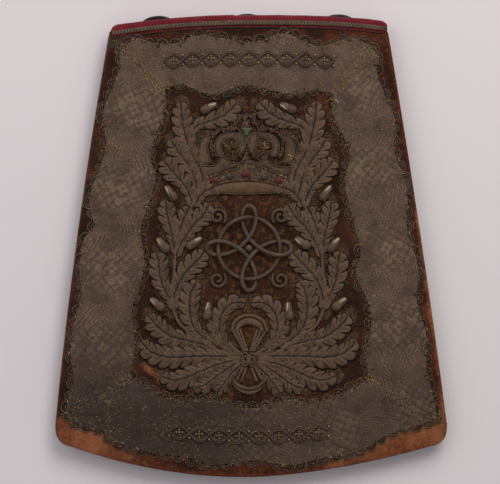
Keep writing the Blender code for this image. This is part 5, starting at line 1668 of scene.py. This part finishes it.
def binding():
    """The crimson roll over the top edge, with a lapped seam."""
    half = (FACE_Z - BINDING_Z) / 2
    middle = BINDING_Z + half
    rings = []
    stations = np.concatenate(
        (
            BINDING_LEFT + np.array((0.0, 0.25, 0.7, 1.3, 2.1, 3.2)),
            np.linspace(BINDING_LEFT + 5, BINDING_RIGHT - 5, 190),
            BINDING_RIGHT - np.array((3.2, 2.1, 1.3, 0.7, 0.25, 0.0)),
        )
    )
    for x in stations:
        end = min(x - BINDING_LEFT, BINDING_RIGHT - x)
        depth = BINDING_NOSE * np.sqrt(max(0.0, 1 - max(0.0, 1 - end / 5.0) ** 2) * 0.75 + 0.25)
        depth += 0.18 * noise.noise(Vector((x / 14, 0.0, 4.0)))
        lap = 0.35 if x < SEAM_X else 0.0
        pinch = 0.7 * np.exp(-(((x - SEAM_X) / 0.7) ** 2))
        outer, inner = [(-BINDING_DEPTH, FACE_Z + 0.1)], [(-BINDING_DEPTH, FACE_Z - BINDING_WALL)]
        outer.append((-BINDING_DEPTH * 0.8, FACE_Z + 0.25))
        for step in range(15):
            turn = pi / 2 - pi * step / 14
            outer.append((-BINDING_NOSE + (depth + lap - pinch) * cos(turn), middle + (half + 0.15) * sin(turn)))
            wide, tall = depth - BINDING_WALL, half - BINDING_WALL
            inner.append((-BINDING_NOSE + wide * cos(turn), middle + tall * sin(turn)))
        outer.append((-BINDING_BACK_DEPTH, BINDING_Z))
        inner.append((-BINDING_BACK_DEPTH, BINDING_Z + BINDING_WALL))
        ring = []
        for y, z in outer + inner[::-1]:
            share = min(1.0, max(0.0, (z - RISE - BOARD) / (VELVET_Z - RISE - BOARD)))
            ring.append((x, top_y(x) + y, z + share * ARCH * (1 - (x / ARCH_HALF) ** 2)))
        rings.append(ring)
    work = Work()
    work.loft(rings)
    piece = made_piece("crimson_binding", work, [CRIMSON_LOOK], ["top_binding"])
    piping = Work()
    for left, right, drop, size in ((-108.4, 105.4, 9.35, 0.42), (-107.8, 104.6, 10.1, 0.36)):
        x = np.linspace(left, right, 200)
        line = laid(x, [top_y(value) - drop for value in x], FACE_Z + 0.45)
        piping.cord(line, size, size, 6, slot=0 if drop < 10 else 1)
    made_piece("binding_piping", piping, [PIPING_LOOK, EDGE_LOOK])


def braid():
    """Flat plaited braid: two rows of slanting threads that meet along the middle."""
    cols, rows = 420, 9
    x = np.linspace(-108.2, 105.2, cols)
    lines = []
    for drop in np.linspace(BRAID_TOP, BRAID_FOOT, rows):
        lines.append(np.column_stack((x, [top_y(value) - drop for value in x])))
    grid = np.array(lines)
    share = np.linspace(-1, 1, rows)[:, None]
    slant = np.sin(2 * pi * (x[None, :] + 1.6 * np.abs(share)) / 2.5)
    z = WORK_Z + BRAID * (1 - 0.35 * np.abs(share) ** 3) + 0.16 * slant - 0.1 * np.exp(-((share / 0.14) ** 2))
    z = z + 0.1 * rough_at(grid, 6.0, 8.0)
    form = flap_forms(grid)
    work = Work()
    pattern = np.dstack((np.broadcast_to(x, (rows, cols)), np.abs(share) * np.ones((1, cols)) * 1.8))
    # Painted shade: the groove mark darkens the low parts of the slanting threads.
    groove = 0.5 - 0.5 * slant
    work.plate(high(grid, z + form), high(grid, WORK_Z + form), pattern, (), 0, {"groove": groove * 0.75})
    made_piece("plaited_braid", work, [BRAID_LOOK], ["top_braid"])


# Leather


def board(name, node, inset, tops, top_line, low, thick, form, look):
    """A leather panel with rounded edges."""
    rows, cols = 90, 80
    grid = pouch_grid(inset + 0.5, tops[0], tops[1], top_line, rows, cols)
    lift = form(grid)
    rim = rim_of(grid)
    rim_lift = form(rim[None])[0]
    out = np.array(offset_loop([tuple(p) for p in rim], 1.0)) - rim
    rings = []
    for share, up in ((0.3, 0.93), (0.5, 0.72), (0.5, 0.28), (0.3, 0.07)):
        rings.append(np.column_stack((rim + out * share, low + thick * up + rim_lift)))
    face = high(grid, low + thick + lift + 0.05 * rough_at(grid, 12.0, 5.0))
    back = high(grid, low + lift)
    work = Work()
    work.plate(face, back, None, rings)
    return made_piece(name, work, [look], [node])


def leather():
    """Back, pocket, flap board and gusset."""
    top = [(x, top_y(x) - BOARD_TOP_INSET - 0.5) for x in np.linspace(-100.5, 98.0, 30)]
    board("back_leather", "back_panel", BACK_INSET, (150.0, 150.0), top, 0.0, BOARD,
          back_forms, LEATHER_LOOK)
    left, right = side_x(POCKET_MOUTH, False) + 10.5, side_x(POCKET_MOUTH, True) - 10.5
    mouth = [(x, POCKET_MOUTH - 0.5) for x in np.linspace(left, right, 30)]
    board("pocket_leather", "pocket_front", POCKET_INSET, (POCKET_MOUTH - 0.5, POCKET_MOUTH - 0.5), mouth,
          POCKET_Z, POCKET_LEATHER, flap_forms, LINING_LOOK)
    top = [(x, top_y(x) - BOARD_TOP_INSET - 0.5) for x in np.linspace(-105.5, 102.5, 30)]
    under = VELVET + 3 * GAP
    board("flap_leather", "flap_board", under, (163.0, 160.0), top, FLAP_Z, BOARD, flap_forms, LINING_LOOK)
    outer = np.array(outline_below(POCKET_INSET, POCKET_MOUTH, POCKET_MOUTH, 40, 60))
    inner = np.array(outline_below(POCKET_INSET + GUSSET_LEATHER, POCKET_MOUTH, POCKET_MOUTH, 40, 60))
    rings = []
    for one, two in zip(outer, inner):
        high_z = GUSSET_TOP + min(flap_form(*one), flap_form(*two))
        foot = BOARD + GAP
        middle = (foot + high_z) / 2
        dent = (two - one) * 0.12
        outside = [(*one, foot), (*(one + dent), middle), (*one, high_z)]
        rings.append(outside + [(*two, high_z), (*(two + dent), middle), (*two, foot)])
    work = Work()
    work.loft(rings)
    made_piece("gusset_leather", work, [LINING_LOOK], ["pocket_gusset"], angle=40)
    stitches()


def stitches():
    """Waxed linen stitches round the pocket and the back."""
    work = Work()
    pocket = outline_below(POCKET_INSET + 2.4, POCKET_MOUTH - 3, POCKET_MOUTH - 3, 40, 60)
    back = outline_below(BACK_INSET + 3.0, 140.0, 140.0, 40, 60)
    for outline, z, form in ((pocket, POCKET_Z + POCKET_LEATHER, flap_forms), (back, BOARD, back_forms)):
        count = int(length_of(outline) / 4.0)
        line = evenly(outline, count)
        way = directions(line)
        lift = form(line)
        for place, along, up in zip(line, way, lift):
            ends = [place + along * share for share in (-1.3, -0.5, 0.5, 1.3)]
            heights = (-0.12, 0.12, 0.12, -0.12)
            work.cord([(*p, z + up + step) for p, step in zip(ends, heights)], 0.28, 0.26, 5)
    made_piece("leather_stitches", work, [STITCH_LOOK])


# Rings and tabs


def ring_axis(top):
    """How far up the bar of a ring lies, from the top of its arc."""
    return top - (RING_DEPTH + WIRE) * cos(ring_droop())


def ring_droop():
    """The angle at which a ring hangs at rest."""
    return asin((RING_AXIS_Z - RING_REST_Z) / RING_DEPTH)


def rings():
    """The rings, each with its tab."""
    for name, x, top in RINGS:
        straight = RING_HALF - RING_CORNER
        line = [(value, 0.0) for value in np.linspace(-straight, straight, 24)]
        for step in range(1, 8):
            turn = -pi / 2 + pi / 2 * step / 8
            line.append((straight + RING_CORNER * cos(turn), RING_CORNER + RING_CORNER * sin(turn)))
        for step in range(61):
            turn = pi * step / 60
            line.append((RING_HALF * cos(turn), RING_CORNER + (RING_DEPTH - RING_CORNER) * sin(turn)))
        for step in range(1, 8):
            turn = pi + pi / 2 * step / 8
            line.append((-straight + RING_CORNER * cos(turn), RING_CORNER + RING_CORNER * sin(turn)))
        line = np.array(line)
        droop = ring_droop()
        up, down = line[:, 1] * cos(droop), line[:, 1] * sin(droop)
        path = np.column_stack((line[:, 0] + x, ring_axis(top) + up, RING_AXIS_Z - down))
        work = Work()
        work.cord(path, WIRE * 0.97, WIRE * 0.97, 14, True)
        made_piece(f"iron_ring_{name}", work, [RING_LOOK], [f"ring_{name}"], f"{name}_ring")
        tab(name, x, ring_axis(top))


def tab(name, x, axis_y):
    """A strap folded round the ring's bar: drawn out from its first edge, then thickened and rounded."""
    middle = TAB_BORE + TAB_LEATHER / 2
    upper = RING_AXIS_Z + middle
    lower = upper - TAB_LEATHER - GAP
    line = [(-TAB_LENGTH, upper), (-TAB_LENGTH / 2, upper), (-2.0, upper)]
    turns = [radians(90 - 24 * step) for step in range(11)]
    line += [(middle * cos(turn), RING_AXIS_Z + middle * sin(turn)) for turn in turns]
    line += [(-5.6, lower - 0.9), (-7.6, lower), (-TAB_LENGTH * 0.8, lower), (-TAB_LENGTH, lower)]
    clear_choice()
    start = Vector((x, axis_y + line[0][0], line[0][1])) * MM
    bpy.ops.mesh.primitive_plane_add(size=2 * (TAB_HALF - 0.3) * MM, location=start)
    strap = bpy.context.object
    strap.name = f"tab_strap_{name}"
    bpy.ops.object.transform_apply(location=True, rotation=True, scale=True)
    bpy.ops.object.mode_set(mode="EDIT")
    bpy.ops.mesh.select_all(action="SELECT")
    bpy.ops.transform.resize(value=(1, 0, 1), center_override=start)
    bpy.ops.mesh.remove_doubles(threshold=1e-6)
    for (y0, z0), (y1, z1) in zip(line, line[1:]):
        bpy.ops.mesh.extrude_region_move(TRANSFORM_OT_translate={"value": (0, (y1 - y0) * MM, (z1 - z0) * MM)})
    bpy.ops.mesh.select_all(action="SELECT")
    bpy.ops.mesh.normals_make_consistent(inside=False)
    bpy.ops.object.mode_set(mode="OBJECT")
    wall = strap.modifiers.new("wall", "SOLIDIFY")
    wall.thickness = (TAB_LEATHER - 0.1) * MM
    wall.offset = 0.0
    round_ = strap.modifiers.new("round", "BEVEL")
    round_.width = 0.35 * MM
    round_.segments = 2
    round_.angle_limit = radians(60)
    for modifier in ("wall", "round"):
        bpy.ops.object.modifier_apply(modifier=modifier)
    bpy.ops.object.mode_set(mode="EDIT")
    bpy.ops.mesh.select_all(action="SELECT")
    bpy.ops.mesh.normals_make_consistent(inside=False)
    bpy.ops.object.mode_set(mode="OBJECT")
    chart(strap)
    strap.data.materials.append(LEATHER_LOOK)
    settle(strap, [f"ring_tab_{name}"], angle=50)


# Floor, light and camera


SKY = (238, 236, 240)
SKY_STRENGTH = 0.42
LAMPS = (
    # name, place in metres, size, power, colour
    ("key", (0.6, 1.25, 1.45), 1.1, 17.5, (255, 250, 246)),
    ("fill", (-1.2, 0.9, 1.7), 1.6, 8.0, (244, 246, 255)),
    ("top", (0.1, 1.5, 0.9), 1.0, 5.5, (255, 252, 250)),
)


def studio():
    """A pale floor under soft light from three lamps."""
    clear_choice()
    bpy.ops.mesh.primitive_plane_add(size=6.0, location=(0, 0, -0.0002))
    floor = bpy.context.object
    floor.name = "studio_floor"
    bpy.ops.object.transform_apply(location=True, rotation=True, scale=True)
    floor.data.materials.append(floor_finish())
    world = bpy.data.worlds.new("studio")
    bpy.context.scene.world = world
    world.use_nodes = True
    world.node_tree.nodes["Background"].inputs["Color"].default_value = tint(*SKY)
    world.node_tree.nodes["Background"].inputs["Strength"].default_value = SKY_STRENGTH
    for name, place, size, power, colour in LAMPS:
        data = bpy.data.lights.new(name, "AREA")
        data.size = size
        data.energy = power
        data.color = tint(*colour)[:3]
        lamp = bpy.data.objects.new(name, data)
        bpy.context.scene.collection.objects.link(lamp)
        lamp.location = place
        lamp.rotation_euler = (-Vector(place)).to_track_quat("-Z", "Y").to_euler()


VIEW_WIDTH = 390.0
VIEW_MIDDLE = (-0.9, 2.1, 14.0)
VIEW_FROM = 2200.0


def camera():
    """Seen from straight above."""
    data = bpy.data.cameras.new("overhead")
    data.sensor_fit = "HORIZONTAL"
    data.sensor_width = 36.0
    data.lens = 36.0 * (VIEW_FROM - VIEW_MIDDLE[2]) / VIEW_WIDTH
    data.clip_start = 0.05
    data.clip_end = 20.0
    seen = bpy.data.objects.new("overhead", data)
    bpy.context.scene.collection.objects.link(seen)
    seen.location = Vector((VIEW_MIDDLE[0], VIEW_MIDDLE[1], VIEW_FROM)) * MM
    bpy.context.scene.camera = seen
    bpy.context.scene.view_settings.view_transform = "Standard"


camera()
studio()
velvet()
lace()
edging()
gold_threads()
branches()
acorns()
bow()
crown()
stones()
knot()
ornament_rows()
binding()
braid()
leather()
rings()
